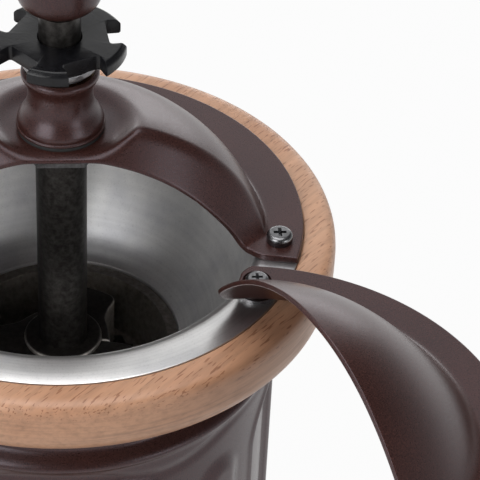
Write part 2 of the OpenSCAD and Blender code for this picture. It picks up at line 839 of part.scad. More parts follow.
module pivot_washer() {
  color(zinc)
    translate(pivot)
      ring(pivot_washer_r, lid_screw_r + run_gap, pivot_washer_t, rim_z);
}

module lid_pivot_screw() {
  stack = pivot_washer_t + swing_t - pivot_seat + 2*run_gap;
  color(zinc)
    translate(pivot + [0, 0, rim_z + stack])
      rotate(30)
        pan_screw(lid_head_r, lid_head_h, lid_screw_r, stack + ring_h + drum_flange_t);
}

module swing_lid_closed() {
  difference() {
    union() {
      intersection() {
        translate([0, 0, rim_z + ball_z])
          difference() {
            sphere(r = ball_r);
            sphere(r = ball_r - lid_wall);
          }
        translate([-far/2, swing_edge_y - far, swing_z])
          cube([far, far, far]);
      }
      lid_sector(-180 + lid_end_angle, pad_angle - pivot_angle, swing_r - lid_wall/2, swing_z, swing_t);
    }
    for (side = [0, 1])
      mirror([side, 0, 0])
        rotate(-lid_end_angle)
          translate([0, -lid_gap, rim_z])
            cube([far, far, rim_t + lid_gap]);
    translate(pivot)
      bore(lid_screw_r + run_gap, swing_z - 1, swing_z + swing_t + 1);
    translate(pivot)
      bore(lid_head_r + 2*seat_gap, swing_z + swing_t - pivot_seat, swing_z + 3*lid_head_h);
  }
}

module swing_lid() {
  color(bronze)
    translate(pivot)
      rotate(lid_open)
        translate(-pivot)
          swing_lid_closed();
}

module hub_gasket() {
  color(rubber)
    ring(hub_r + seat_gap, spigot_r + seat_gap, gasket_t, platform_z);
}

module bearing_hub() {
  belly = 0.2*hub_h;
  neck = 0.6*hub_h;
  collar = 0.88*hub_h;
  color(bronze)
    difference() {
      union() {
        revolve(concat([[0, 0], [hub_r - 0.4, 0]], bow_pts([hub_r - 0.4, 0], [hub_r - 0.3, belly], -0.4, 5),
          bow_pts([hub_r - 0.3, belly], [hub_neck_r, neck], 0.5, 6),
          bow_pts([hub_neck_r, neck], [hub_collar_r, collar], 0.3, 4),
          [[hub_collar_r - 0.2, hub_h - 0.5], [hub_collar_r - 0.7, hub_h], [0, hub_h]]), hub_z);
        bore(spigot_r, spigot_z, hub_z + eps);
      }
      bore(bush_r, spigot_z - eps, hub_top_z + eps);
    }
}

module top_bush() {
  color(brass)
    ring(bush_r, stem_r + run_gap, hub_top_z - spigot_z, spigot_z);
}

module hub_nut() {
  color(zinc)
    difference() {
      translate([0, 0, spigot_z])
        cylinder(r = hub_nut_r, h = hub_nut_t, $fn = 6);
      bore(spigot_r + eps, spigot_z - eps, spigot_z + hub_nut_t + eps);
    }
}

module key_washer() {
  color(steel)
    union() {
      ring(key_washer_r, stem_r + run_gap, key_washer_t, hub_top_z);
      translate([stem_r - key_d + run_gap, run_gap - key_w/2, hub_top_z])
        cube([key_d + 1, key_w - 2*run_gap, key_washer_t]);
    }
}

module adjusting_wheel() {
  color(oxide)
    difference() {
      union() {
        bore(wheel_boss_r, wheel_z, wheel_z + wheel_boss_h + eps);
        bore(wheel_r, wheel_z + wheel_boss_h, wheel_top_z);
      }
      bore(stem_r + run_gap, wheel_z - eps, wheel_top_z + eps);
      for (i = [0:notch_count - 1])
        rotate(notch_turn + i*360/notch_count)
          translate([notch_floor_r, -notch_w/2, wheel_z + wheel_boss_h/2])
            cube([wheel_r, notch_w, 2*wheel_t]);
    }
}

shoulder_z = spigot_z - 1;
square_z = crank_z + crank_seat;
square_top_z = crank_top_z - seat_gap;
stud_top_z = crank_top_z + crank_washer_t + cap_nut_h;

module spindle() {
  color(iron)
    difference() {
      union() {
        bore(shaft_r, tail_z, shoulder_z);
        bore(stem_r, shoulder_z - eps, square_z);
        translate([0, 0, (square_z + square_top_z)/2])
          rotate(crank_turn)
            cube([square_w, square_w, square_top_z - square_z + 2*eps], center = true);
        bore(stud_r, square_top_z - eps, stud_top_z);
      }
      ring(shaft_r + 1, shaft_r - clip_groove, clip_t, clip_z);
      translate([stem_r - key_d, -key_w/2, hub_top_z - 1])
        cube([2*key_d, key_w, key_washer_t + 2]);
      burr_pin_hole(burr_pin_r + eps);
    }
}

pin_z = grind_top_z + vane_h*0.35;

module burr_pin_hole(r) {
  translate([0, 0, pin_z])
    rotate([90, 0, 0])
      cylinder(r = r, h = 2*burr_hub_r + 4, center = true);
}

// Feed vanes seen from above: each starts at the hub and sweeps back to its tip
module vane_outline() {
  sweep = 38;
  for (i = [0:vane_count - 1])
    rotate(i*360/vane_count)
      polygon(concat([[0, 0]], arc_pts([0, 0], burr_hub_r, -30, 30, 4),
        [[vane_r*cos(sweep), vane_r*sin(sweep)]],
        arc_pts([0, 0], vane_r, sweep + 8, sweep + 24, 2), [[burr_hub_r*cos(80), burr_hub_r*sin(80)]]));
}

module inner_burr() {
  low_r = grind_low_r - grind_gap;
  top_r = grind_top_r - grind_gap;
  color(iron)
    difference() {
      union() {
        translate([0, 0, burr_low_z])
          linear_extrude(grind_h, scale = top_r/low_r, twist = 14, slices = 4, segments = 1)
            tooth_ring(low_r, low_r - tooth_depth);
        translate([0, 0, grind_top_z - eps])
          linear_extrude(vane_h, scale = 0.82, twist = -40, slices = 6, segments = 1)
            vane_outline();
        bore(burr_hub_r, grind_top_z - eps, grind_top_z + vane_h + 1);
      }
      bore(shaft_r + eps, burr_low_z - 1, grind_top_z + vane_h + 2);
      burr_pin_hole(burr_pin_r + eps);
    }
}

module burr_pin() {
  color(zinc)
    translate([0, 0, pin_z])
      rotate([90, 0, 0])
        cylinder(r = burr_pin_r, h = 2*burr_hub_r - 1, center = true);
}

module spring_washer() {
  color(zinc)
    ring(spring_r + 3*wire_r, shaft_r + seat_gap, spring_washer_t, spring_low_z - spring_washer_t);
}

module circlip() {
  color(zinc)
    difference() {
      ring(shaft_r + clip_w - clip_groove, shaft_r - clip_groove + eps, clip_t - 2*eps, clip_z + eps);
      translate([-shaft_r/2, 0, clip_z - 1])
        cube([shaft_r, far, clip_t + 2]);
    }
}

module crank_arm() {
  mid = 0.42*crank_hub_h;
  color(bronze)
    difference() {
      union() {
        revolve(concat([[0, 0]], bow_pts([crank_foot_r, 0], [crank_hub_r - 0.7, mid], -0.5, 5),
          [[crank_hub_r, 0.62*crank_hub_h]],
          arc_pts([crank_hub_r - 1.5, crank_hub_h - 1.5], 1.5, 0, 90, 4), [[0, crank_hub_h]]), crank_z);
        rotate(crank_turn) {
          translate([0, 0, arm_z])
            linear_extrude(arm_t)
              polygon([[0, -arm_w/2], [crank_l, -arm_end_w/2], [crank_l, arm_end_w/2], [0, arm_w/2]]);
          translate([crank_l, 0, arm_z])
            cylinder(r = arm_eye_r, h = arm_t);
        }
      }
      bore(stem_r + seat_gap, crank_z - eps, square_z);
      translate([0, 0, crank_top_z])
        rotate(crank_turn)
          cube([square_w + 2*run_gap, square_w + 2*run_gap, 2*(crank_top_z - square_z)], center = true);
      rotate(crank_turn)
        translate([crank_l, 0, arm_z - 1])
          cylinder(r = knob_pin_r + eps, h = arm_t + 2);
    }
}

module crank_washer() {
  color(zinc)
    ring(crank_washer_r, stud_r + seat_gap, crank_washer_t, crank_top_z);
}

module crank_nut() {
  nut_z = crank_top_z + crank_washer_t;
  dome = cap_nut_r*0.82;
  color(bronze)
    difference() {
      union() {
        translate([0, 0, nut_z])
          cylinder(r = cap_nut_r, h = cap_nut_h, $fn = 6);
        intersection() {
          translate([0, 0, nut_z + cap_nut_h - eps])
            sphere(r = dome);
          bore(dome, nut_z, nut_z + cap_nut_h + dome);
        }
      }
      bore(stud_r + eps, nut_z - eps, stud_top_z + eps);
    }
}

module at_knob(z) {
  rotate(crank_turn)
    translate([crank_l, 0, z])
      children();
}

pin_head_z = knob_z + knob_h - knob_recess + 2*seat_gap;

module knob_pin() {
  color(zinc)
    at_knob(0)
      union() {
        bore(knob_pin_r, arm_z - eps, pin_head_z + eps);
        bore(knob_head_r, arm_z - knob_head_t, arm_z);
        bore(knob_head_r, pin_head_z, pin_head_z + knob_head_t);
      }
}

module knob_washer() {
  color(zinc)
    at_knob(0)
      ring(knob_foot_r - 1, knob_pin_r + seat_gap, knob_washer_t, arm_z + arm_t);
}

module crank_knob() {
  waist = 0.22*knob_h;
  belly = 0.66*knob_h;
  waist_r = knob_foot_r - 0.6;
  mouth = knob_head_r + 2*seat_gap;
  color(beech)
    at_knob(knob_z)
      difference() {
        revolve(concat([[0, 0]], bow_pts([knob_foot_r, 0], [waist_r, waist], 0.3, 4),
          bow_pts([waist_r, waist], [knob_r, belly], 0.8, 6),
          bow_pts([knob_r, belly], [mouth + 1, knob_h], -3, 8), [[0, knob_h]]));
        bore(knob_pin_r + run_gap, -1, knob_h);
        bore(mouth, knob_h - knob_recess, knob_h + 1);
      }
}

module knob_plug() {
  color(bronze)
    at_knob(knob_z + knob_h - knob_plug_h)
      cylinder(r = knob_head_r + 2*seat_gap - eps, h = knob_plug_h);
}

module drawer_front() {
  color(beech)
    difference() {
      intersection() {
        plinth_body();
        translate([-drawer_w/2 + slide_gap, -far, pocket_z])
          cube([drawer_w - 2*slide_gap, far + front_y, drawer_h - slide_gap]);
      }
      pull_hole(pull_foot_r + seat_gap, -far, pull_y);
      pull_hole(pull_screw_r + seat_gap, -far, front_y + 1);
    }
}

module pull_hole(r, y0, y1) {
  translate([0, y0, pull_z])
    rotate([-90, 0, 0])
      cylinder(r = r, h = y1 - y0);
}

module drawer_box() {
  w = drawer_w - 2*slide_gap;
  h = drawer_h - drawer_drop;
  color(beech)
    difference() {
      translate([-w/2, front_y, pocket_z])
        cube([w, drawer_len, h]);
      translate([-w/2 + drawer_wall, front_y + drawer_wall, pocket_z + drawer_bottom])
        cube([w - 2*drawer_wall, drawer_len - 2*drawer_wall, h]);
      pull_hole(2*pull_screw_r + 2*seat_gap, front_y - 1, front_y + drawer_wall + 1);
    }
}

module drawer_knob() {
  waist = 0.35*pull_l;
  belly = 0.72*pull_l;
  waist_r = pull_foot_r - 1.2;
  color(bronze)
    translate([0, pull_y, pull_z])
      rotate([90, 0, 0])
        difference() {
          revolve(concat([[0, 0]], bow_pts([pull_foot_r, 0], [waist_r, waist], 0.4, 4),
            bow_pts([waist_r, waist], [pull_r, belly], 0.6, 5),
            bow_pts([pull_r, belly], [0, pull_l], -2.4, 8)));
          bore(pull_screw_r + eps, -1, 0.6*pull_l);
        }
}

module drawer_knob_screw() {
  color(zinc)
    translate([0, front_y, pull_z])
      rotate([-90, 0, 0])
        pan_screw(2*pull_screw_r, drawer_wall - 2*seat_gap, pull_screw_r,
          front_y - pull_y + 0.6*pull_l - seat_gap);
}

base_pad();
plinth();
drum();
drum_screws();
top_ring();
ring_screws();
hopper();
ring_burr();
bearing_bridge();
lower_bush();
bridge_screws();
bridge_nuts();
spindle_spring();
bridge_lid();
bridge_lid_screws();
pivot_washer();
lid_pivot_screw();
hub_gasket();
bearing_hub();
top_bush();
hub_nut();
swing_lid();
key_washer();
adjusting_wheel();
spindle();
inner_burr();
burr_pin();
spring_washer();
circlip();
crank_arm();
crank_washer();
crank_nut();
knob_pin();
knob_washer();
crank_knob();
knob_plug();
drawer_front();
drawer_box();
drawer_knob();
drawer_knob_screw();
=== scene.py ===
import json
import math
from functools import lru_cache

import bpy
from mathutils import Matrix, Vector


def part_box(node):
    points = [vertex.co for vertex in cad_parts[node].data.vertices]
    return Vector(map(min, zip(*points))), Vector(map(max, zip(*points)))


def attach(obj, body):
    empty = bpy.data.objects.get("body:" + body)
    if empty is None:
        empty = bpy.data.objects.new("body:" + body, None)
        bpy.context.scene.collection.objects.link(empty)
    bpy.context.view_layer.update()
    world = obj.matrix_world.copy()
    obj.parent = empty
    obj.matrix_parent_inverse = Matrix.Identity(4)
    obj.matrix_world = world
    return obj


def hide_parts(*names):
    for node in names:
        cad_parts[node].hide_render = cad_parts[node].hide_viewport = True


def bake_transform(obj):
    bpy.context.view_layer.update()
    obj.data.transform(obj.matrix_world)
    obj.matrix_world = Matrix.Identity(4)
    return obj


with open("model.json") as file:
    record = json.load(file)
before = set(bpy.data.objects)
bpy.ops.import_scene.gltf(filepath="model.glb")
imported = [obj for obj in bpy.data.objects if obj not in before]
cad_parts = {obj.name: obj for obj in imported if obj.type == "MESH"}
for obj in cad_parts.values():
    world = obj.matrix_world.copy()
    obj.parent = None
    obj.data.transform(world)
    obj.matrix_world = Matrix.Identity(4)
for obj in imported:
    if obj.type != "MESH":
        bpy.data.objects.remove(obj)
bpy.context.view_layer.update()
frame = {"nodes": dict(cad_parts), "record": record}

MM = 0.001


def low(node):
    """Lowest level of a node of the frame, in mm."""
    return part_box(node)[0].z / MM


def high(node):
    """Highest level of a node of the frame, in mm."""
    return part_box(node)[1].z / MM


RIM_Z = high("hopper")             # plane of the hopper's flange
SEAT_Z = high("plinth")            # top of the plinth
RING_Z = low("top_ring")           # underside of the beech ring
PLATFORM_Z = low("hub_gasket")     # top of the platform under the hub
WHEEL_Z = high("key_washer")       # underside of the star wheel's boss
CRANK_Z = low("crank_arm")         # lower end of the crank's hub
CRANK_TOP = low("crank_washer")    # upper end of the crank's hub
FLANGE_R = 48.0
PIVOT = (37.175, -22.781)
LID_OPEN = math.radians(116.2)
CRANK_BEARING = 160                # degrees from +X to the crank's arm
CRANK_TURN = math.radians(CRANK_BEARING)
CRANK_L = 105.0
FINE = 160                         # steps of a turned piece
FINER = 192                        # steps of a large turned piece
EDGE_SOFT, UNDER_SOFT = 0.4, 0.3   # rounding of a lid's edge, above and below


# Hand tools

def choose(piece):
    if bpy.context.object and bpy.context.object.mode != "OBJECT":
        bpy.ops.object.mode_set(mode="OBJECT")
    bpy.ops.object.select_all(action="DESELECT")
    if piece:
        bpy.context.view_layer.objects.active = piece
        piece.select_set(True)


def begin(name):
    """Name the primitive that was just added and go into edit mode."""
    piece = bpy.context.object
    piece.name = name
    piece.data.name = name
    bpy.ops.object.mode_set(mode="EDIT")
    bpy.ops.mesh.select_all(action="SELECT")
    return piece


def clean(piece):
    """Merge doubled points and turn all faces outwards."""
    choose(piece)
    bpy.ops.object.mode_set(mode="EDIT")
    bpy.ops.mesh.select_all(action="SELECT")
    bpy.ops.mesh.remove_doubles(threshold=1e-6)
    bpy.ops.mesh.normals_make_consistent(inside=False)
    bpy.ops.object.mode_set(mode="OBJECT")


def applied(piece, kind, **settings):
    modifier = piece.modifiers.new(kind.title(), kind)
    for key, value in settings.items():
        setattr(modifier, key, value)
    choose(piece)
    bpy.ops.object.modifier_apply(modifier=modifier.name)


def bevelled(piece, width, segments=3, angle=35):
    applied(piece, "BEVEL", width=width * MM, segments=segments, limit_method="ANGLE",
            angle_limit=math.radians(angle), use_clamp_overlap=True, harden_normals=False)


def cut(piece, cutter, operation="DIFFERENCE"):
    """Cut a piece with another one, which is used up."""
    applied(piece, "BOOLEAN", object=cutter, operation=operation, solver="EXACT")
    choose(cutter)
    bpy.ops.object.delete()


def joined(name, *pieces):
    choose(pieces[0])
    for piece in pieces:
        piece.select_set(True)
    bpy.ops.object.join()
    pieces[0].name = name
    return pieces[0]


def copied(piece, name, place):
    twin = piece.copy()
    twin.data = piece.data.copy()
    twin.name = name
    bpy.context.collection.objects.link(twin)
    twin.data.transform(place)
    return twin


def smooth(piece, angle=38):
    choose(piece)
    bpy.ops.object.shade_smooth_by_angle(angle=math.radians(angle))


def rounded(*corners):
    """Outline from corners (radius, height, rounding), each corner softened by its rounding."""
    points = []
    count = len(corners)
    for i, (x, z, soft) in enumerate(corners):
        here = Vector((x, z))
        if soft <= 0:
            points.append((x, z))
            continue
        back = Vector(corners[i - 1][:2]) - here
        ahead = Vector(corners[(i + 1) % count][:2]) - here
        reach = min(soft, 0.49 * back.length, 0.49 * ahead.length)
        a = here + back.normalized() * reach
        b = here + ahead.normalized() * reach
        for k in range(7):
            s = k / 6
            p = a * (1 - s) ** 2 + here * 2 * s * (1 - s) + b * s * s
            points.append((p.x, p.y))
    return points


def flowing(knots, steps=6):
    """Smooth curve through knots of (radius, height)."""
    ends = [knots[0]] + list(knots) + [knots[-1]]
    points = []
    for p0, p1, p2, p3 in zip(ends, ends[1:], ends[2:], ends[3:]):
        for k in range(steps):
            t = k / steps
            points.append(tuple(
                0.5 * (2 * b + (c - a) * t + (2 * a - 5 * b + 4 * c - d) * t * t
                       + (3 * b - a - 3 * c + d) * t ** 3)
                for a, b, c, d in zip(p0, p1, p2, p3)))
    points.append(tuple(knots[-1]))
    return points


def turned(name, outline, steps=FINE, centre=(0, 0), base=0.0):
    """Turn a piece: draw its closed outline (radius, height) point by point and spin it."""
    choose(None)
    bpy.ops.mesh.primitive_circle_add(vertices=3, radius=MM, location=(0, 0, 0))
    piece = begin(name)
    bpy.ops.mesh.merge(type="CENTER")
    bpy.ops.mesh.select_all(action="SELECT")
    points = list(outline) + [outline[0]]
    bpy.ops.transform.translate(value=((centre[0] + points[0][0]) * MM, centre[1] * MM,
                                       (base + points[0][1]) * MM))
    for (r0, z0), (r1, z1) in zip(points, points[1:]):
        bpy.ops.mesh.extrude_region_move(
            TRANSFORM_OT_translate={"value": ((r1 - r0) * MM, 0, (z1 - z0) * MM)})
    bpy.ops.mesh.select_all(action="SELECT")
    bpy.ops.mesh.remove_doubles(threshold=1e-6)
    bpy.ops.mesh.select_all(action="SELECT")
    bpy.ops.mesh.spin(steps=steps, angle=2 * math.pi, center=(centre[0] * MM, centre[1] * MM, 0),
                      axis=(0, 0, 1))
    clean(piece)
    return piece


def plate(name, outline, low, high, turn=0.0, centre=(0, 0)):
    """Saw a flat plate from an outline (x, y) and give it its thickness."""
    choose(None)
    bpy.ops.mesh.primitive_circle_add(vertices=len(outline), radius=MM, fill_type="NGON",
                                      location=(0, 0, 0))
    piece = bpy.context.object
    c, s = math.cos(turn), math.sin(turn)
    for vertex, (x, y) in zip(piece.data.vertices, outline):
        vertex.co = Vector((centre[0] + x * c - y * s, centre[1] + x * s + y * c, low)) * MM
    begin(name)
    bpy.ops.mesh.extrude_region_move(TRANSFORM_OT_translate={"value": (0, 0, (high - low) * MM)})
    clean(piece)
    return piece


def block(name, low, high):
    """A box between two corners."""
    choose(None)
    bpy.ops.mesh.primitive_cube_add(size=1, location=(0, 0, 0))
    piece = begin(name)
    bpy.ops.object.mode_set(mode="OBJECT")
    for vertex in piece.data.vertices:
        vertex.co = Vector([(a if c < 0 else b) * MM for c, a, b in zip(vertex.co, low, high)])
    return piece


def shaped_sheet(name, place, across, along):
    """Lay a fine grid over a shape: place gives a point in mm for s and t from 0 to 1."""
    choose(None)
    bpy.ops.mesh.primitive_grid_add(x_subdivisions=across, y_subdivisions=along, size=1,
                                    location=(0, 0, 0))
    piece = bpy.context.object
    piece.name = name
    for vertex in piece.data.vertices:
        vertex.co = Vector(place(vertex.co.x + 0.5, vertex.co.y + 0.5)) * MM
    return piece


def facing(piece, outwards):
    """Flip an open sheet if its middle face looks the wrong way."""
    middle = piece.data.polygons[len(piece.data.polygons) // 2]
    if middle.normal.dot(outwards(middle.center)) < 0:
        choose(piece)
        bpy.ops.object.mode_set(mode="EDIT")
        bpy.ops.mesh.select_all(action="SELECT")
        bpy.ops.mesh.flip_normals()
        bpy.ops.object.mode_set(mode="OBJECT")


def eased(u):
    """Steps that crowd together at both ends."""
    return u - 0.9 * math.sin(2 * math.pi * u) / (2 * math.pi)


def edge_drop(distance, radius):
    """How far a rounded edge has fallen at a distance from it."""
    inside = max(0.0, radius - distance)
    return radius - math.sqrt(radius * radius - inside * inside)


def pressed(name, plan, height, thickness, floor, across, along):
    """Press a lid from sheet: plan gives x and y for s and t, height its upper side over the flange."""
    reach = 0.05

    def border(s, t):
        here = plan(s, t)
        ends = (plan(s, 0.0), plan(s, 1.0), plan(0.0, t), plan(1.0, t))
        return min(math.dist(here, end) for end in ends)

    def upper(s, t):
        s, t = eased(s), eased(t)
        x, y = plan(s, t)
        return x, y, RIM_Z + height(x, y) - edge_drop(border(s, t), EDGE_SOFT)

    def under(s, t):
        s, t = eased(s), eased(t)
        x, y = plan(s, t)
        slope_x = (height(x + reach, y) - height(x - reach, y)) / (2 * reach)
        slope_y = (height(x, y + reach) - height(x, y - reach)) / (2 * reach)
        normal = Vector((-slope_x, -slope_y, 1)).normalized() * thickness
        z = max(height(x, y) - normal.z, floor) + edge_drop(border(s, t), UNDER_SOFT)
        return x - normal.x, y - normal.y, RIM_Z + z

    top = shaped_sheet(name, upper, across, along)
    facing(top, lambda spot: Vector((0, 0, 1)))
    bottom = shaped_sheet(name + "_under", under, across, along)
    facing(bottom, lambda spot: Vector((0, 0, -1)))
    piece = joined(name, top, bottom)
    choose(piece)
    bpy.ops.object.mode_set(mode="EDIT")
    bpy.ops.mesh.select_mode(type="EDGE")
    bpy.ops.mesh.select_all(action="DESELECT")
    bpy.ops.mesh.select_non_manifold()
    bpy.ops.mesh.bridge_edge_loops()
    bpy.ops.mesh.select_mode(type="VERT")
    bpy.ops.object.mode_set(mode="OBJECT")
    clean(piece)
    return piece


def patch(front, rim, start, end):
    """Plan of a sheet between four border lines, each a rule from 0 to 1."""
    def plan(s, t):
        f, r, a, b = front(s), rim(s), start(t), end(t)
        corners = (front(0.0), front(1.0), rim(0.0), rim(1.0))
        return tuple(
            (1 - t) * f[i] + t * r[i] + (1 - s) * a[i] + s * b[i]
            - (1 - s) * (1 - t) * corners[0][i] - s * (1 - t) * corners[1][i]
            - (1 - s) * t * corners[2][i] - s * t * corners[3][i]
            for i in (0, 1))
    return plan


def soft_min(a, b, width):
    h = max(width - abs(a - b), 0.0) / width
    return min(a, b) - h * h * width / 4


def soft_max(a, b, width):
    return -soft_min(-a, -b, width)


def step(lo, hi, value):
    t = min(max((value - lo) / (hi - lo), 0.0), 1.0)
    return t * t * (3 - 2 * t)


def walk(points):
    """Rule that gives the point at a share of a polyline's length."""
    lengths = [0.0]
    for p, q in zip(points, points[1:]):
        lengths.append(lengths[-1] + math.dist(p, q))

    @lru_cache(maxsize=None)
    def at(share):
        goal = share * lengths[-1]
        for i in range(1, len(points)):
            if goal <= lengths[i] or i == len(points) - 1:
                t = (goal - lengths[i - 1]) / (lengths[i] - lengths[i - 1])
                return tuple(a + (b - a) * t for a, b in zip(points[i - 1], points[i]))
    return at


def on_circle(radius, degrees, centre=(0, 0)):
    a = math.radians(degrees)
    return (centre[0] + radius * math.cos(a), centre[1] + radius * math.sin(a))


# Finishes

def finish(name):
    material = bpy.data.materials.new(name)
    material.use_nodes = True
    nodes = material.node_tree.nodes
    links = material.node_tree.links
    shader = nodes["Principled BSDF"]
    where = nodes.new("ShaderNodeTexCoord")
    return material, nodes, links, shader, where


def placed(nodes, links, where, scale, turn=(0, 0, 0)):
    mapping = nodes.new("ShaderNodeMapping")
    mapping.vector_type = "TEXTURE"
    mapping.inputs["Rotation"].default_value = turn
    mapping.inputs["Scale"].default_value = [1 / value for value in scale]
    links.new(where.outputs["Object"], mapping.inputs["Vector"])
    return mapping.outputs["Vector"]


def speckle(nodes, links, vector, scale, detail=2.0, rough=0.5):
    noise = nodes.new("ShaderNodeTexNoise")
    noise.inputs["Scale"].default_value = scale
    noise.inputs["Detail"].default_value = detail
    noise.inputs["Roughness"].default_value = rough
    links.new(vector, noise.inputs["Vector"])
    return noise.outputs["Fac"]


def graded(nodes, links, value, *stops):
    ramp = nodes.new("ShaderNodeValToRGB")
    steps = ramp.color_ramp.elements
    while len(steps) < len(stops):
        steps.new(1.0)
    for element, (position, colour) in zip(steps, stops):
        element.position = position
        element.color = (*colour, 1.0)
    links.new(value, ramp.inputs["Fac"])
    return ramp.outputs["Color"]


def blended(nodes, links, share, first, second, way="MIX"):
    mix = nodes.new("ShaderNodeMix")
    mix.data_type = "RGBA"
    mix.blend_type = way
    if isinstance(share, float):
        mix.inputs["Factor"].default_value = share
    else:
        links.new(share, mix.inputs["Factor"])
    links.new(first, mix.inputs["A"])
    links.new(second, mix.inputs["B"])
    return mix.outputs["Result"]


def raised(nodes, links, shader, height, strength, distance):
    bump = nodes.new("ShaderNodeBump")
    bump.inputs["Strength"].default_value = strength
    bump.inputs["Distance"].default_value = distance
    links.new(height, bump.inputs["Height"])
    links.new(bump.outputs["Normal"], shader.inputs["Normal"])


def grey(v):
    return (v, v, v)


def bronze_paint():
    material, nodes, links, shader, where = finish("bronze_paint")
    spot = placed(nodes, links, where, (1, 1, 1))
    cloud = speckle(nodes, links, spot, 60, 3)
    fleck = speckle(nodes, links, spot, 4200, 2, 0.6)
    tone = graded(nodes, links, cloud, (0.3, (0.034, 0.0120, 0.0092)), (0.7, (0.046, 0.0165, 0.0130)))
    spark = graded(nodes, links, fleck, (0.35, grey(0.6)), (0.52, grey(1.0)), (0.72, grey(1.9)))
    links.new(blended(nodes, links, 1.0, tone, spark, "MULTIPLY"), shader.inputs["Base Color"])
    shader.inputs["IOR"].default_value = 1.5
    links.new(graded(nodes, links, fleck, (0.3, grey(0.26)), (0.7, grey(0.36))),
              shader.inputs["Roughness"])
    shader.inputs["Specular IOR Level"].default_value = 0.5
    shader.inputs["Specular Tint"].default_value = (1.0, 0.90, 1.0, 1.0)
    raised(nodes, links, shader, fleck, 0.08, 0.0002)
    return material


FLECKS_FADE, FLECKS_GONE = 1.5, 4.5    # depth under the top where the ray flecks fade out


def beech(name, turn, top_z=None):
    """Steamed beech: short ray flecks on the top, long fine lines below top_z."""
    material, nodes, links, shader, where = finish(name)
    broad = speckle(nodes, links, placed(nodes, links, where, (9, 60, 60), turn), 1.0, 3)
    grain = speckle(nodes, links, placed(nodes, links, where, (40, 900, 900), turn), 1.0, 3, 0.6)
    layer = speckle(nodes, links, placed(nodes, links, where, (25, 60, 1500), turn), 1.0, 3, 0.6)
    fleck = speckle(nodes, links, placed(nodes, links, where, (330, 2600, 2600), turn), 1.0, 1, 0.4)
    wood = graded(nodes, links, broad, (0.25, (0.44, 0.218, 0.120)), (0.55, (0.54, 0.296, 0.178)),
                  (0.8, (0.60, 0.350, 0.224)))
    lines = graded(nodes, links, grain, (0.30, grey(0.80)), (0.55, grey(1.0)), (0.75, grey(1.06)))
    dots = graded(nodes, links, fleck, (0.61, grey(1.0)), (0.68, (0.55, 0.43, 0.36)))
    streaks = graded(nodes, links, layer, (0.30, grey(0.74)), (0.50, grey(1.0)), (0.75, grey(1.05)))
    lined = blended(nodes, links, 1.0, wood, lines, "MULTIPLY")
    if top_z is None:
        marks = blended(nodes, links, 0.5, dots, streaks)
    else:
        parts = nodes.new("ShaderNodeSeparateXYZ")
        links.new(where.outputs["Object"], parts.inputs[0])
        share = nodes.new("ShaderNodeMapRange")
        share.inputs["From Min"].default_value = (top_z - FLECKS_GONE) * MM
        share.inputs["From Max"].default_value = (top_z - FLECKS_FADE) * MM
        links.new(parts.outputs["Z"], share.inputs["Value"])
        marks = blended(nodes, links, share.outputs["Result"], streaks, dots)
    links.new(blended(nodes, links, 0.9, lined, marks, "MULTIPLY"), shader.inputs["Base Color"])
    links.new(graded(nodes, links, grain, (0.3, grey(0.46)), (0.7, grey(0.36))),
              shader.inputs["Roughness"])
    shader.inputs["Specular IOR Level"].default_value = 0.62
    raised(nodes, links, shader, grain, 0.10, 0.0004)
    return material


BOWL_DOWN, FLANGE_DOWN = 3.0, 0.3      # depth under the rim where bowl and flange finish begin


def sheet_steel():
    """Spun sheet: fine rings about the axis, cloudy inside the bowl, smoother on the flange."""
    material, nodes, links, shader, where = finish("sheet_steel")
    spot = placed(nodes, links, where, (1, 1, 1))
    cloud = speckle(nodes, links, spot, 45, 4, 0.6)
    grit = speckle(nodes, links, spot, 2600, 2)
    parts = nodes.new("ShaderNodeSeparateXYZ")
    links.new(where.outputs["Object"], parts.inputs[0])
    flat = nodes.new("ShaderNodeVectorMath")
    flat.operation = "MULTIPLY"
    flat.inputs[1].default_value = (1, 1, 0)
    links.new(where.outputs["Object"], flat.inputs[0])
    radius = nodes.new("ShaderNodeVectorMath")
    radius.operation = "LENGTH"
    links.new(flat.outputs["Vector"], radius.inputs[0])
    rings = nodes.new("ShaderNodeTexNoise")
    rings.noise_dimensions = "1D"
    rings.inputs["Scale"].default_value = 1600
    rings.inputs["Detail"].default_value = 3
    links.new(radius.outputs["Value"], rings.inputs["W"])
    tone = graded(nodes, links, cloud, (0.32, (0.60, 0.60, 0.62)), (0.5, (0.80, 0.795, 0.79)),
                  (0.68, (0.92, 0.91, 0.90)))
    spun = graded(nodes, links, rings.outputs["Fac"], (0.3, grey(0.93)), (0.65, grey(1.0)))
    dust = graded(nodes, links, grit, (0.25, grey(0.80)), (0.45, grey(1.0)))
    ringed = blended(nodes, links, 1.0, tone, spun, "MULTIPLY")
    links.new(blended(nodes, links, 0.6, ringed, dust, "MULTIPLY"), shader.inputs["Base Color"])
    for socket, bowl, flange in (("Roughness", 0.42, 0.32), ("Metallic", 0.85, 0.95)):
        inside = nodes.new("ShaderNodeMapRange")
        inside.inputs["From Min"].default_value = (RIM_Z - BOWL_DOWN) * MM
        inside.inputs["From Max"].default_value = (RIM_Z - FLANGE_DOWN) * MM
        inside.inputs["To Min"].default_value = bowl
        inside.inputs["To Max"].default_value = flange
        links.new(parts.outputs["Z"], inside.inputs["Value"])
        links.new(inside.outputs["Result"], shader.inputs[socket])
    raised(nodes, links, shader, rings.outputs["Fac"], 0.02, 0.0002)
    return material


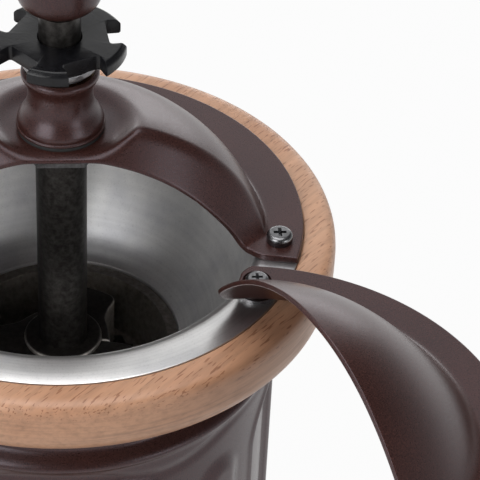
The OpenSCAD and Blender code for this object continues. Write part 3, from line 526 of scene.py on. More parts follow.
def dark_metal(name, low, high, metallic, rough, scale=900, bump=0.15, gloss=0.5):
    material, nodes, links, shader, where = finish(name)
    spot = placed(nodes, links, where, (1, 1, 1))
    fleck = speckle(nodes, links, spot, scale, 3, 0.6)
    cloud = speckle(nodes, links, spot, 70, 2)
    tone = graded(nodes, links, fleck, (0.35, low), (0.7, high))
    worn = graded(nodes, links, cloud, (0.3, grey(0.85)), (0.7, grey(1.12)))
    links.new(blended(nodes, links, 1.0, tone, worn, "MULTIPLY"), shader.inputs["Base Color"])
    shader.inputs["Metallic"].default_value = metallic
    shader.inputs["Specular IOR Level"].default_value = gloss
    links.new(graded(nodes, links, cloud, (0.3, grey(rough - 0.05)), (0.7, grey(rough + 0.06))),
              shader.inputs["Roughness"])
    raised(nodes, links, shader, fleck, bump, 0.0003)
    return material


def burr_iron_painted_light():
    """Cast burr with painted light: tops painted dark as shade, upright faces painted light as a highlight.
    """
    material, nodes, links, shader, where = finish("burr_iron_painted_light")
    grit = speckle(nodes, links, placed(nodes, links, where, (1, 1, 1)), 900, 3, 0.6)
    parts = nodes.new("ShaderNodeSeparateXYZ")
    links.new(where.outputs["Normal"], parts.inputs[0])
    # painted light: colour set by which way a face points, dark shade on faces that look up, a light
    # highlight on upright faces
    tone = graded(nodes, links, parts.outputs["Z"], (0.45, (0.50, 0.47, 0.44)),
                  (0.92, (0.050, 0.045, 0.042)))
    worn = graded(nodes, links, grit, (0.35, grey(0.7)), (0.65, grey(1.1)))
    links.new(blended(nodes, links, 1.0, tone, worn, "MULTIPLY"), shader.inputs["Base Color"])
    shader.inputs["Metallic"].default_value = 0.85
    shader.inputs["Roughness"].default_value = 0.36
    raised(nodes, links, shader, grit, 0.15, 0.0003)
    return material


def rubber():
    material, nodes, links, shader, where = finish("rubber")
    grit = speckle(nodes, links, placed(nodes, links, where, (1, 1, 1)), 1500, 3)
    links.new(graded(nodes, links, grit, (0.3, grey(0.012)), (0.7, grey(0.022))),
              shader.inputs["Base Color"])
    shader.inputs["Roughness"].default_value = 0.7
    raised(nodes, links, shader, grit, 0.2, 0.0003)
    return material


FIBRE = math.radians(48)
FINISHES = {
    "bronze_paint": bronze_paint(),
    "beech": beech("beech", (0, 0, FIBRE), RIM_Z),
    "sheet_steel": sheet_steel(),
    "cast_iron": dark_metal("cast_iron", (0.030, 0.027, 0.025), (0.075, 0.070, 0.066), 0.8, 0.36),
    "black_oxide": dark_metal("black_oxide", (0.004, 0.004, 0.005), (0.009, 0.009, 0.011), 0.0, 0.28,
                              gloss=0.3),
    "zinc": dark_metal("zinc", (0.17, 0.17, 0.175), (0.28, 0.28, 0.29), 1.0, 0.30),
    "bush_brass": dark_metal("bush_brass", (0.46, 0.30, 0.10), (0.58, 0.40, 0.16), 1.0, 0.28, 1200, 0.05),
    "rubber": rubber(),
}

BURR_STEEL = dark_metal("burr_steel", (0.22, 0.20, 0.18), (0.36, 0.33, 0.30), 0.9, 0.36)
BASE_BEECH = beech("beech_base", (0, 0, FIBRE))

for subpart in frame["record"]["subparts"]:
    node = frame["nodes"][subpart["node"]]
    for holder in node.material_slots:
        holder.material = FINISHES[subpart["material_slot"]]
for holder in frame["nodes"]["ring_burr"].material_slots:
    holder.material = BURR_STEEL


def done(piece, body, slot, *nodes, angle=38, material=None):
    """Give a finished piece its surface, its body and the nodes that it stands for."""
    smooth(piece, angle)
    piece.data.materials.clear()
    piece.data.materials.append(material or FINISHES[slot])
    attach(piece, body)
    if nodes:
        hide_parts(*nodes)


# Camera

ELEVATION, DISTANCE = 0.67788, 458.40
YAW, PITCH, ROLL = 0.07723, -0.00971, 0.01035
eye = Vector((0, -DISTANCE * math.cos(ELEVATION), RIM_Z + DISTANCE * math.sin(ELEVATION)))
ahead = (Vector((0, 0, RIM_Z)) - eye).normalized()
side = Vector((1, 0, 0))
rise = side.cross(ahead)
side_1 = math.cos(YAW) * side - math.sin(YAW) * ahead
ahead_1 = math.sin(YAW) * side + math.cos(YAW) * ahead
rise_1 = math.cos(PITCH) * rise - math.sin(PITCH) * ahead_1
ahead_2 = math.sin(PITCH) * rise + math.cos(PITCH) * ahead_1
side_2 = math.cos(ROLL) * side_1 - math.sin(ROLL) * rise_1
rise_2 = math.sin(ROLL) * side_1 + math.cos(ROLL) * rise_1
camera = bpy.data.objects.new("camera", bpy.data.cameras.new("camera"))
camera.data.lens = 172.5
camera.data.sensor_width = 36
camera.data.clip_start = 0.01
camera.data.clip_end = 50
camera.matrix_world = Matrix((
    (side_2.x, rise_2.x, -ahead_2.x, eye.x * MM),
    (side_2.y, rise_2.y, -ahead_2.y, eye.y * MM),
    (side_2.z, rise_2.z, -ahead_2.z, eye.z * MM),
    (0, 0, 0, 1)))
bpy.context.collection.objects.link(camera)
bpy.context.scene.camera = camera


# Fixed half lid

LID_RIM = 1.5                      # thickness of the fixed lid's rim
LID_SHEET = 1.5                    # thickness of its sheet
FRONT_Y = -10.5                    # plane of the arch
DOME_R, DOME_Y = 40.0, -4.6        # radius and middle of the dome in plan
DOME_RISE, DOME_POWER = 29.4, 0.626
SADDLE = 3.2                       # how far the dome sinks behind the hub
ARCH_RISE, ARCH_HALF, ARCH_POWER = 22.4, 36.9, 2.4
ARCH_CREST = 0.9                   # small rise of the arch in front of the hub
FASCIA_SLOPE = 1.4                 # rise of the front over its run
DISH_R, DISH_CURVE = 9.6, 0.14     # flat seat of the hub and the wall around it


def dome_height(x, y):
    """Height of the dome over the flange, falling below it outside its rim."""
    inside = 1 - (x * x + (y - DOME_Y) ** 2) / DOME_R ** 2
    if inside <= 0:
        return 60 * inside
    saddle = SADDLE * math.exp(-(x / 16) ** 2 - ((y - 6) / 9) ** 2)
    return DOME_RISE * inside ** DOME_POWER - saddle


def arch_height(x):
    arch = ARCH_RISE * (1 - abs(x / ARCH_HALF) ** ARCH_POWER)
    return arch + ARCH_CREST * math.exp(-(x / 8) ** 2)


def lid_height(x, y):
    behind = y - FRONT_Y
    fascia = arch_height(x) + FASCIA_SLOPE * behind
    out = max(0.0, math.hypot(x, y) - DISH_R)
    dish = PLATFORM_Z - RIM_Z + DISH_CURVE * out * out
    shell = soft_min(dome_height(x, y), fascia, 2.0)
    shell = soft_min(shell, dish, 3.2)
    return soft_max(shell, LID_RIM, 2.0 + 3.0 * step(0, 7, behind))


half_front = [(0, FRONT_Y), (31.0, FRONT_Y)] + flowing(
    [(32.8, -10.5), (34.6, -10.7), (36.2, -11.35), (37.6, -12.45), (39.2, -13.35), (41.0, -13.8)])
mirrored = [(-x, y) for x, y in reversed(half_front)]
LID_END = 17.75                    # degrees that the lid's rim runs on past each side
fixed_plan = patch(walk(mirrored + half_front[1:]),
                   lambda s: on_circle(FLANGE_R, 180 + LID_END - (180 + 2 * LID_END) * s),
                   walk([mirrored[0], on_circle(FLANGE_R, 180 + LID_END)]),
                   walk([half_front[-1], on_circle(FLANGE_R, -LID_END)]))
fixed_lid = pressed("fixed_lid", fixed_plan, lid_height, LID_SHEET, 0.0, 230, 130)
done(fixed_lid, "stand", "bronze_paint", "bridge_lid", angle=50)


# Swinging half lid, shaped closed and then swung open

SWING_RIM = 2.9                    # top of the swinging lid's rim over the flange
SWING_SHEET = 1.0                  # thickness of its sheet
SWING_FLOOR = 1.0                  # lowest level of its underside over the flange
SWING_RISE, SWING_R, SWING_POWER = 27.6, 40.1, 2.25
SWING_Y = -2.0                     # middle of its dome in plan
SWING_START, SWING_SWEEP = -160.5, 130.5    # degrees of its rim on the flange
SEAT_R, SEAT_LEVEL = 2.8, 2.0      # sunk seat of the pivot screw


def swing_height(x, y):
    shell = SWING_RISE * (1 - (math.hypot(x, y - SWING_Y) / SWING_R) ** SWING_POWER)
    return soft_max(shell, SWING_RIM, 2.0)


swing_front = walk(flowing([(-40.0, -16.0), (-38.5, -15.6), (-37.0, -14.9), (-35.6, -13.6), (-34.2, -12.1),
                            (-32.6, -11.3), (-31.0, -11.1)])
                   + flowing([(31.0, -11.1), (32.6, -11.4), (34.0, -12.4), (35.2, -14.4)]))
swing_plan = patch(swing_front,
                   lambda s: on_circle(FLANGE_R, SWING_START + SWING_SWEEP * s),
                   walk([(-40.0, -16.0), on_circle(FLANGE_R, SWING_START)]),
                   walk(flowing([(35.2, -14.4), (36.2, -16.6), (37.6, -18.3), (39.3, -20.0), (40.9, -21.7),
                                 on_circle(FLANGE_R, SWING_START + SWING_SWEEP)])))


def swung(piece):
    about = Vector((PIVOT[0] * MM, PIVOT[1] * MM, 0))
    piece.data.transform(Matrix.Translation(about) @ Matrix.Rotation(LID_OPEN, 4, "Z")
                         @ Matrix.Translation(-about))


swing_lid = pressed("swing_lid_shell", swing_plan, swing_height, SWING_SHEET, SWING_FLOOR, 220, 100)
seat_side = [(0, SEAT_LEVEL), (SEAT_R, SEAT_LEVEL), (SEAT_R, 8), (0, 8)]
cut(swing_lid, turned("pivot_seat", seat_side, 48, PIVOT, RIM_Z))
spacer_side = rounded((1.7, 0.8, 0), (3.1, 0.8, 0.2), (3.1, 2.1, 0), (1.7, 2.1, 0))
spacer = turned("spacer", spacer_side, 48, PIVOT, RIM_Z)
swing_lid = joined("swing_lid_shell", swing_lid, spacer)
swung(swing_lid)
done(swing_lid, "lid", "bronze_paint", "swing_lid", angle=50)


# Screws with a cross recess

def pan_screw(name, head_r, head_h, shank_r, shank_l, at, base):
    """Pan head on its seat at base, shank downwards, cross recess in the top."""
    head = rounded((0, -shank_l, 0), (shank_r, -shank_l, 0.2), (shank_r, 0, 0), (head_r * 0.96, 0, 0.15),
                   (head_r, head_h * 0.7, 0.45), (head_r * 0.78, head_h, 0.5), (0, head_h, 0))
    screw = turned(name, head, 64, at, base)
    arm, half = head_r * 0.62, head_r * 0.17
    for wide, tall in ((half, arm), (arm, half)):
        slot = block("slot", (at[0] - wide, at[1] - tall, base + head_h * 0.42),
                     (at[0] + wide, at[1] + tall, base + head_h + 1))
        for vertex in slot.data.vertices:
            if vertex.co.z < (base + head_h * 0.5) * MM:
                vertex.co.x = at[0] * MM + (vertex.co.x - at[0] * MM) * 0.5
                vertex.co.y = at[1] * MM + (vertex.co.y - at[1] * MM) * 0.5
        cut(screw, slot)
    return screw


SCREW_CIRCLE_R = 43.6              # circle of the fixed lid's two screws
screw_spots = [on_circle(SCREW_CIRCLE_R, -12), on_circle(SCREW_CIRCLE_R, 192)]
lid_screw = pan_screw("lid_screw_right", 2.65, 2.1, 1.6, 14, screw_spots[0], RIM_Z + LID_RIM)
shift = Vector((screw_spots[1][0] - screw_spots[0][0], screw_spots[1][1] - screw_spots[0][1], 0)) * MM
twin = copied(lid_screw, "lid_screw_left", Matrix.Translation(shift))
lid_screws = joined("lid_screws", lid_screw, twin)
done(lid_screws, "stand", "zinc", "bridge_lid_screws")

pivot_screw = pan_screw("pivot_screw", 2.3, 1.8, 1.6, 14, PIVOT, RIM_Z + SEAT_LEVEL)
done(pivot_screw, "stand", "zinc", "lid_pivot_screw")

FOOT_CIRCLE_R = 50.4               # circle of the drum foot's four screws
FOOT_T = 4                         # thickness of the drum's foot
foot_screw = pan_screw("foot_screw", 3.0, 2.0, 1.5, 6, on_circle(FOOT_CIRCLE_R, 45), SEAT_Z + FOOT_T)
others = [copied(foot_screw, "foot_screw_%d" % turn, Matrix.Rotation(math.radians(turn), 4, "Z"))
          for turn in (90, 180, 270)]
done(joined("foot_screws", foot_screw, *others), "stand", "zinc", "drum_screws")


# Hub, washer, wheel

HUB_Z = high("hub_gasket")
vase = [(8.2, 0), (8.55, 0.15), (8.6, 0.35), (8.5, 0.55)] + flowing(
    [(8.3, 0.65), (8.35, 1.6), (7.8, 2.8), (6.95, 4.3), (6.4, 6.0), (6.25, 8.0), (6.4, 9.6), (7.0, 10.8),
     (7.45, 11.6), (7.45, 12.4), (6.9, 13.0)])
hub_bore = [(4.2, 12.2), (4.2, -2.7), (6.6, -2.7), (6.6, 0)]
hub = turned("bearing_hub_vase", hub_bore + vase + [(6.2, 12.6), (5.8, 12.2)], FINE, base=HUB_Z)
done(hub, "stand", "bronze_paint", "bearing_hub", angle=50)

gasket_side = rounded((6.8, -0.5, 0), (8.4, -0.5, 0), (8.4, 0.5, 0.3), (8.0, 0.7, 0), (6.8, 0.7, 0))
gasket = turned("gasket_ring", gasket_side, 96, base=PLATFORM_Z)
done(gasket, "stand", "rubber", "hub_gasket")

washer_side = rounded((4.05, 0, 0), (6.3, 0, 0.2), (6.3, 1.0, 0), (7.2, 1.0, 0.3), (7.2, 2.4, 0.3),
                      (4.05, 2.4, 0.1))
washer = turned("key_washer_disc", washer_side, 96, base=low("key_washer"))
done(washer, "drive", "sheet_steel", "key_washer", material=FINISHES["zinc"])

NOTCHES, NOTCH_W, NOTCH_FLOOR, NOTCH_TURN = 5, 7.8, 8.9, 7
wheel_side = rounded((4.1, 0, 0), (7.4, 0, 0.2), (7.4, 1.6, 0.4), (12.4, 1.6, 0.2), (12.7, 1.9, 0.2),
                     (12.7, 3.8, 0.35), (11.9, 4.7, 0.35), (4.1, 4.7, 0.3))
wheel = turned("star_wheel", wheel_side, 140, base=WHEEL_Z)
notch = block("notch", (NOTCH_FLOOR, -NOTCH_W / 2, WHEEL_Z + 0.8), (20.0, NOTCH_W / 2, WHEEL_Z + 9))
bevelled(notch, 0.6, 3, 60)
for index in range(NOTCHES):
    turn = Matrix.Rotation(math.radians(NOTCH_TURN + 360 / NOTCHES * index), 4, "Z")
    cut(wheel, copied(notch, "notch_%d" % index, turn))
choose(notch)
bpy.ops.object.delete()
bevelled(wheel, 0.35, 3, 40)
done(wheel, "adjuster", "black_oxide", "adjusting_wheel", angle=45)


# Crank with its nut and knob

crank_foot = flowing([(4.4, 2.6), (5.4, 2.85), (6.4, 3.4), (7.2, 4.1), (7.8, 5.1), (8.2, 6.8), (8.4, 9.5),
                      (8.3, 12.0), (8.1, 13.8), (7.6, 14.9), (6.4, 15.5)])
crank_hub = turned("crank_hub", [(4.05, 15.5), (4.05, 2.6)] + crank_foot, FINE, base=CRANK_Z)
EYE_R = 7.5                        # round end of the arm under the knob
arm_half = [(0, 6.5), (30, 5.7), (70, 4.9), (96, 4.6), (98.5, 5.4), (101, 6.5)]
eye_end = [on_circle(EYE_R, a, (CRANK_L, 0)) for a in range(105, -106, -6)]
arm_outline = arm_half + eye_end + [(x, -y) for x, y in reversed(arm_half)]
arm = plate("crank_bar", arm_outline, CRANK_TOP - 7.5, CRANK_TOP - 1.5, CRANK_TURN)
bevelled(arm, 1.5, 4, 30)
crank = joined("crank", crank_hub, arm)
done(crank, "spindle", "bronze_paint", "crank_arm")

crank_disc = turned("crank_disc", rounded((2.7, 0, 0), (6.0, 0, 0.2), (6.0, 1.0, 0.3), (2.7, 1.0, 0)), 64,
                    base=CRANK_TOP)
done(crank_disc, "spindle", "zinc", "crank_washer")

hexagon = plate("cap_nut", [on_circle(5.2, 60 * k) for k in range(6)], CRANK_TOP + 1, CRANK_TOP + 5.5)
bevelled(hexagon, 0.4, 3, 30)
cap = turned("cap", flowing([(4.4, 0), (4.3, 1.3), (3.4, 2.9), (1.8, 3.9), (0, 4.25)]) + [(0, 0)], 64,
             base=CRANK_TOP + 5.4)
done(joined("crank_cap_nut", hexagon, cap), "spindle", "bronze_paint", "crank_nut")

knob_at = on_circle(CRANK_L, CRANK_BEARING)
knob_wall = flowing([(8.3, 0), (8.5, 0.8), (8.1, 4.2), (7.9, 7.9), (8.9, 12.0), (11.4, 17.6), (13.5, 22.0),
                     (14.0, 25.0), (13.2, 29.2), (11.0, 33.0), (8.6, 35.2), (7.0, 36.0)])
knob = turned("turned_knob", [(5.9, 36.0), (5.9, 30.0), (3.56, 30.0), (3.56, 0)] + knob_wall, FINE, knob_at,
              low("crank_knob"))
done(knob, "knob", "beech", "crank_knob", material=beech("beech_upright", (0, math.radians(90), 0)))
plug_side = flowing([(5.85, 0), (5.85, 2.2), (5.4, 2.9), (3.6, 3.25), (0, 3.4)]) + [(0, 0)]
plug = turned("knob_button", plug_side, 64, knob_at, low("knob_plug"))
done(plug, "knob", "bronze_paint", "knob_plug")


# Hopper, beech ring, spindle

bowl = flowing([(38.75, -2.6), (37.9, -6), (36.3, -12), (33.6, -19), (29.6, -26), (26.2, -29.4),
                (24.2, -30.6)], 8)
lip = flowing([(41.6, 0), (40.8, -0.1), (40.0, -0.42), (39.35, -0.95), (38.95, -1.7)])
edge = [(48.0, -0.35), (47.9, -0.1), (47.65, 0), (42.4, 0)]
inner = edge + lip + bowl + [(24.0, -32), (24.0, -35.2)]
back = [(36.0, -35.2), (36.0, -34.0), (25.2, -34.0), (25.2, -31.4)]
outer_wall = [(r + 1.1, z - 0.75) for r, z in reversed(bowl)]
hopper = turned("hopper_bowl", inner + back + outer_wall + [(39.9, -1.2), (48.0, -1.2)], FINER, base=RIM_Z)
done(hopper, "stand", "sheet_steel", "hopper", angle=45)

ring_side = rounded((40.3, 0, 0), (54.7, 0, 8.5), (54.7, 13, 5.2), (48.2, 13, 0.35), (48.2, 11.8, 0),
                    (40.3, 11.8, 0))
ring = turned("beech_ring", ring_side, FINER, base=RING_Z)
done(ring, "stand", "beech", "top_ring")

TAIL_Z = low("spindle")
SHOULDER_Z = RIM_Z + 17.9          # where the rod steps down to its stem
STEM_Z = CRANK_Z + 1.5             # where the stem meets the square
ROD_R, STEM_R = 5.0, 4.0
rod = rounded((0, TAIL_Z, 0), (ROD_R, TAIL_Z, 0.5), (ROD_R, SHOULDER_Z, 0.4), (STEM_R, SHOULDER_Z, 0),
              (STEM_R, STEM_Z, 0), (0, STEM_Z, 0))
shaft = turned("spindle_rod", rod, 64)
tang = block("square", (-2.7, -2.7, STEM_Z - 0.5), (2.7, 2.7, CRANK_TOP - 0.2))
tang.data.transform(Matrix.Rotation(CRANK_TURN, 4, "Z"))
stud = turned("stud", rounded((0, -1, 0), (2.5, -1, 0), (2.5, 5.4, 0.4), (0, 5.4, 0)), 48, base=CRANK_TOP)
done(joined("spindle_shaft", shaft, tang, stud), "spindle", "cast_iron", "spindle")


# Inner burr: toothed cone below, three curved feed vanes above

BURR_TOP = RIM_Z - 31              # top of the feed vanes
GRIND_TOP = RIM_Z - 42             # where vanes and teeth meet
GRIND_LOW = low("inner_burr")
TEETH, TOOTH_DEPTH, CONE_LOW_R, CONE_TOP_R = 30, 1.2, 18.7, 15.7
VANES = 3
vane_side = flowing([on_circle(radius, turn) for radius, turn in (
    (9.9, -9), (9.7, 12), (10.3, 29.5), (11.0, 35), (13.1, 42), (14.9, 44.5), (16.2, 48), (16.6, 55),
    (16.6, 70), (16.4, 85), (15.8, 99), (14.6, 107), (12.4, 110), (10.6, 110))], 4)
vane_foot = [on_circle(6.5, turn) for turn in (111, 81, 51, 21, -9)]
vane = plate("feed_vane", vane_side + vane_foot, GRIND_TOP - 1, BURR_TOP)
bevelled(vane, 0.9, 3, 40)
vanes = [vane] + [copied(vane, "feed_vane_%d" % k, Matrix.Rotation(2 * math.pi * k / VANES, 4, "Z"))
                  for k in range(1, VANES)]
cone = plate("burr_cone", [on_circle(CONE_LOW_R - TOOTH_DEPTH * (k % 2), 180 / TEETH * k)
                           for k in range(2 * TEETH)], GRIND_LOW, GRIND_TOP)
for vertex in cone.data.vertices:
    if vertex.co.z > (GRIND_LOW + 1) * MM:
        vertex.co.x *= CONE_TOP_R / CONE_LOW_R
        vertex.co.y *= CONE_TOP_R / CONE_LOW_R
boss_side = rounded((4.9, -12, 0), (8.0, -12, 0), (8.0, 1, 0.8), (4.9, 1, 0))
boss = turned("burr_boss", boss_side, 64, base=BURR_TOP)
burr = joined("feed_burr", boss, cone, *vanes)
done(burr, "spindle", "cast_iron", "inner_burr", material=burr_iron_painted_light())


# Spring under the lower bearing

WIRE_R, COIL_R, COILS = 0.8, 7.4, 5
coil_low, coil_high = low("spindle_spring") + WIRE_R, high("spindle_spring") - WIRE_R
choose(None)
bpy.ops.mesh.primitive_circle_add(vertices=14, radius=WIRE_R * MM, location=(0, 0, 0))
spring = begin("coil_spring")
bpy.ops.object.mode_set(mode="OBJECT")
for vertex in spring.data.vertices:
    vertex.co = Vector((COIL_R * MM + vertex.co.x, 0, coil_low * MM + vertex.co.y))
applied(spring, "SCREW", axis="Z", angle=2 * math.pi, screw_offset=(coil_high - coil_low) / COILS * MM,
        iterations=COILS, steps=48, render_steps=48, use_merge_vertices=False)
choose(spring)
bpy.ops.object.mode_set(mode="EDIT")
bpy.ops.mesh.select_mode(type="EDGE")
bpy.ops.mesh.select_all(action="DESELECT")
bpy.ops.mesh.select_non_manifold()
bpy.ops.mesh.edge_face_add()
bpy.ops.mesh.select_mode(type="VERT")
bpy.ops.object.mode_set(mode="OBJECT")
clean(spring)
smooth(spring)                     # it has no body of its own
spring.data.materials.append(FINISHES["sheet_steel"])
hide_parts("spindle_spring")
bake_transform(spring)


# Drum with its raised and sunk ornament

DRUM_H = RING_Z - SEAT_Z
DRUM_R = 43.8
NECK_R = 41.5
DRUM_WALL = 2.0
ORNAMENTS = 6                      # bosses and panels around the drum
FIRST_BOSS = -45                   # degrees from +X
BOSS_DOWN, BOSS_HALF, BOSS_OUT = 36.0, 7.0, 1.25
PANEL_DOWN, PANEL_HALF, PANEL_DEPTH = 29.8, 10, 1.6
PANEL_UP = 12.5                    # lower end of a panel over the foot
BEAD_OUT = 0.45                    # bead round a panel
CROWN_T = 3                        # flange at the top of the drum
WAVE_DOWN, WAVE_SWING, WAVE_DEPTH = 16.8, 2.1, 0.45


def drum_profile(down, up):
    """Radius of the plain drum at a distance under its top and over its foot."""
    if up < 10:
        return DRUM_R + 1.5 * (1 - step(4, 10, up))
    shoulder = NECK_R + (DRUM_R - NECK_R) * step(10.2, 12.8, down)
    return shoulder + 0.55 * math.exp(-((down - 13.4) / 0.75) ** 2)


def drum_relief(angle, down, up):
    """How far the ornament stands out at an angle in degrees, under the top and over the foot."""
    spacing = 360 / ORNAMENTS
    pitch = (angle - FIRST_BOSS) % spacing
    boss = min(pitch, spacing - pitch) * math.radians(DRUM_R)
    panel = abs(pitch - spacing / 2) * math.radians(DRUM_R)
    reach = math.hypot(boss, max(0.0, abs(down - BOSS_DOWN) - BOSS_HALF))
    out = BOSS_OUT * (1 - step(2.2, 6.4, reach))
    if down < PANEL_DOWN:
        edge = math.hypot(panel, PANEL_DOWN - down) - PANEL_HALF
    else:
        edge = max(panel - PANEL_HALF, PANEL_UP - up)
    out -= PANEL_DEPTH * (1 - step(-1.6, 0.2, edge))
    out += BEAD_OUT * math.exp(-((edge - 1.2) / 0.8) ** 2)
    wave = WAVE_DOWN - WAVE_SWING * math.sin(math.radians((angle + 47.5) * ORNAMENTS))
    out -= WAVE_DEPTH * math.exp(-((down - wave) / 1.2) ** 2)
    return out * step(8, 14, up) * step(14.0, 16.5, down)


def drum_point(s, t):
    angle = 360 * s
    up = FOOT_T + (DRUM_H - FOOT_T - CROWN_T) * t
    down = DRUM_H - up
    x, y = on_circle(drum_profile(down, up) + drum_relief(angle, down, up), angle)
    return x, y, SEAT_Z + up


wall = shaped_sheet("drum_wall", drum_point, 420, 200)
clean(wall)
facing(wall, lambda spot: Vector((spot.x, spot.y, 0)))
applied(wall, "SOLIDIFY", thickness=DRUM_WALL * MM, offset=-1)
foot_side = rounded((NECK_R, 0, 0), (54.0, 0, 1.8), (54.0, FOOT_T, 1.8), (46.0, 4.1, 0.5), (44.6, 6, 0.5),
                    (NECK_R, 6, 0))
foot = turned("drum_foot", foot_side, FINER, base=SEAT_Z)
crown_side = rounded((38.5, -7, 0), (NECK_R, -7, 0), (NECK_R, -CROWN_T, 0.6), (47.0, -CROWN_T, 0.7),
                     (47.0, 0, 0.4), (38.5, 0, 0))
crown = turned("drum_crown", crown_side, FINER, base=RING_Z)
drum = joined("drum_body", wall, foot, crown)
done(drum, "stand", "bronze_paint", "drum", angle=45)


# Plinth, pad and drawer

PAD_T = 3                          # thickness of the pad under the plinth
PAD_R, PLINTH_R, PLINTH_H = 56, 64, 47
POCKET_HALF, POCKET_BACK = 35, 33  # room of the drawer in the plinth
POCKET_LOW, POCKET_HIGH = 8, 41
PANEL_PLAY = 0.5                   # gap beside and over the drawer's front
plinth_side = rounded((0, 0, 0), (PLINTH_R, 0, 3.2), (PLINTH_R, PLINTH_H, 8.5), (0, PLINTH_H, 0))
plinth = turned("beech_plinth", plinth_side, FINER, base=PAD_T)
cut(plinth, block("pocket", (-POCKET_HALF, -80, POCKET_LOW), (POCKET_HALF, POCKET_BACK, POCKET_HIGH)))
cut(plinth, turned("drop", [(0, 30), (31, 30), (31, 60), (0, 60)], 96))
bevelled(plinth, 0.5, 2, 40)
done(plinth, "stand", "beech", "plinth", material=BASE_BEECH)

front = turned("drawer_panel", plinth_side, FINER, base=PAD_T)
panel_half = POCKET_HALF - PANEL_PLAY
cut(front, block("panel_room", (-panel_half, -80, POCKET_LOW), (panel_half, -50, POCKET_HIGH - PANEL_PLAY)),
    "INTERSECT")
bevelled(front, 0.6, 3, 40)
done(front, "drawer", "beech", "drawer_front", material=BASE_BEECH)

pad_side = rounded((0, 0, 0), (PAD_R, 0, 0.6), (PAD_R, PAD_T, 0.6), (0, PAD_T, 0))
pad = turned("foot_pad", pad_side, 128)
done(pad, "stand", "rubber", "base_pad")

pull_side = flowing([(6.0, 0), (5.9, 1.2), (5.0, 4.2), (4.9, 7.0), (6.6, 10.2), (8.7, 13.2), (9.0, 15.2),
                     (8.0, 17.8), (5.2, 19.5), (0, 20.0)])
pull = turned("drawer_pull", pull_side + [(0, 0)], 96)
PULL_Y, PULL_Z = -63.3, 24.5       # where the knob sits on the drawer's front
to_the_front = Matrix.Rotation(math.radians(90), 4, "X")
pull.data.transform(Matrix.Translation((0, PULL_Y * MM, PULL_Z * MM)) @ to_the_front)
done(pull, "drawer", "bronze_paint", "drawer_knob")


# Floor and light

choose(None)
bpy.ops.mesh.primitive_plane_add(size=1, location=(0, 0, 0))
floor = bpy.context.object
floor.name = "floor"
FLOOR_SIZE = 12                    # in metres
for vertex in floor.data.vertices:
    vertex.co = vertex.co * FLOOR_SIZE
floor_paint = bpy.data.materials.new("white_floor")
floor_paint.use_nodes = True
nodes, links = floor_paint.node_tree.nodes, floor_paint.node_tree.links
nodes["Principled BSDF"].inputs["Base Color"].default_value = (0.5, 0.5, 0.5, 1)
nodes["Principled BSDF"].inputs["Roughness"].default_value = 0.9
nodes["Principled BSDF"].inputs["Specular IOR Level"].default_value = 0.0
ray = nodes.new("ShaderNodeLightPath")
seen = nodes.new("ShaderNodeMath")
seen.operation = "MAXIMUM"
links.new(ray.outputs["Is Camera Ray"], seen.inputs[0])
links.new(ray.outputs["Is Glossy Ray"], seen.inputs[1])
seen_too = nodes.new("ShaderNodeMath")
seen_too.operation = "MAXIMUM"
links.new(seen.outputs[0], seen_too.inputs[0])
links.new(ray.outputs["Is Transmission Ray"], seen_too.inputs[1])
share = nodes.new("ShaderNodeMath")
share.operation = "MULTIPLY"
share.inputs[1].default_value = 0.95
links.new(seen_too.outputs[0], share.inputs[0])
glow = nodes.new("ShaderNodeEmission")
glow.inputs["Strength"].default_value = 1.0
both = nodes.new("ShaderNodeMixShader")
links.new(share.outputs[0], both.inputs["Fac"])
links.new(nodes["Principled BSDF"].outputs[0], both.inputs[1])
links.new(glow.outputs[0], both.inputs[2])
links.new(both.outputs[0], nodes["Material Output"].inputs["Surface"])
floor.data.materials.append(floor_paint)

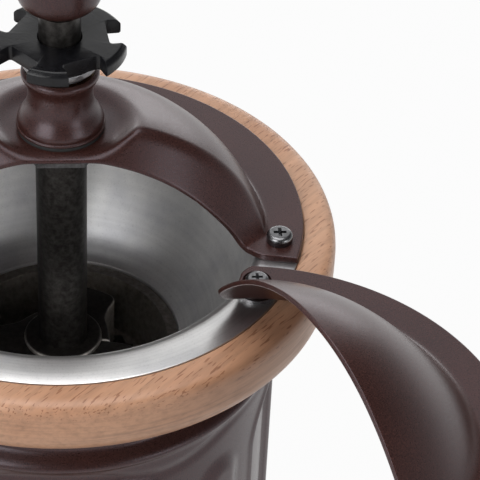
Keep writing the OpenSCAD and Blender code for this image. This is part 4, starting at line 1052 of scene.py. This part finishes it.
world = bpy.data.worlds.new("studio")
bpy.context.scene.world = world
world.use_nodes = True
nodes, links = world.node_tree.nodes, world.node_tree.links
sky = nodes["Background"]
where = nodes.new("ShaderNodeTexCoord")
parts = nodes.new("ShaderNodeSeparateXYZ")
links.new(where.outputs["Generated"], parts.inputs[0])
behind = graded(nodes, links, parts.outputs["Z"], (0.0, grey(1.0)), (0.66, grey(1.0)), (0.84, grey(0.45)),
                (1.0, grey(0.35)))
before = graded(nodes, links, parts.outputs["Z"], (0.0, grey(0.45)), (0.30, grey(0.25)), (0.48, grey(0.08)),
                (0.78, grey(0.08)), (0.92, grey(0.3)), (1.0, grey(0.35)))
level = nodes.new("ShaderNodeVectorMath")
level.operation = "MULTIPLY"
level.inputs[1].default_value = (1, 1, 0)
links.new(where.outputs["Generated"], level.inputs[0])
bearing = nodes.new("ShaderNodeVectorMath")
bearing.operation = "NORMALIZE"
links.new(level.outputs["Vector"], bearing.inputs[0])
towards = nodes.new("ShaderNodeSeparateXYZ")
links.new(bearing.outputs["Vector"], towards.inputs[0])
depth = graded(nodes, links, towards.outputs["Y"], (0.78, grey(0.0)), (0.93, grey(1.0)))
tone = blended(nodes, links, depth, before, behind)
ray = nodes.new("ShaderNodeLightPath")
plain = nodes.new("ShaderNodeMix")
plain.data_type = "RGBA"
plain.inputs["B"].default_value = (1, 1, 1, 1)
links.new(ray.outputs["Is Camera Ray"], plain.inputs["Factor"])
links.new(tone, plain.inputs["A"])
links.new(plain.outputs["Result"], sky.inputs["Color"])
sky.inputs["Strength"].default_value = 1.0


def lamp(name, spot, size, power, target=(0, 0, RIM_Z)):
    light = bpy.data.lights.new(name, "AREA")
    light.shape = "RECTANGLE"
    light.size, light.size_y = size
    light.energy = power
    holder = bpy.data.objects.new(name, light)
    holder.location = Vector(spot) * MM
    aim = Vector(target) - Vector(spot)
    holder.rotation_euler = aim.to_track_quat("-Z", "Y").to_euler()
    bpy.context.collection.objects.link(holder)


lamp("top_panel", (-60, -60, 1180), (0.8, 0.8), 5.5)
lamp("left_panel", (-745, 200, 1080), (0.6, 0.6), 3.5)
lamp("front_left_panel", (-620, -650, 600), (0.65, 0.55), 4.8)
lamp("side_panel", (850, -850, 480), (0.5, 0.5), 2.2)
lamp("back_panel", (200, 1300, 300), (1.2, 0.35), 2.4)

bpy.context.scene.view_settings.view_transform = "Standard"
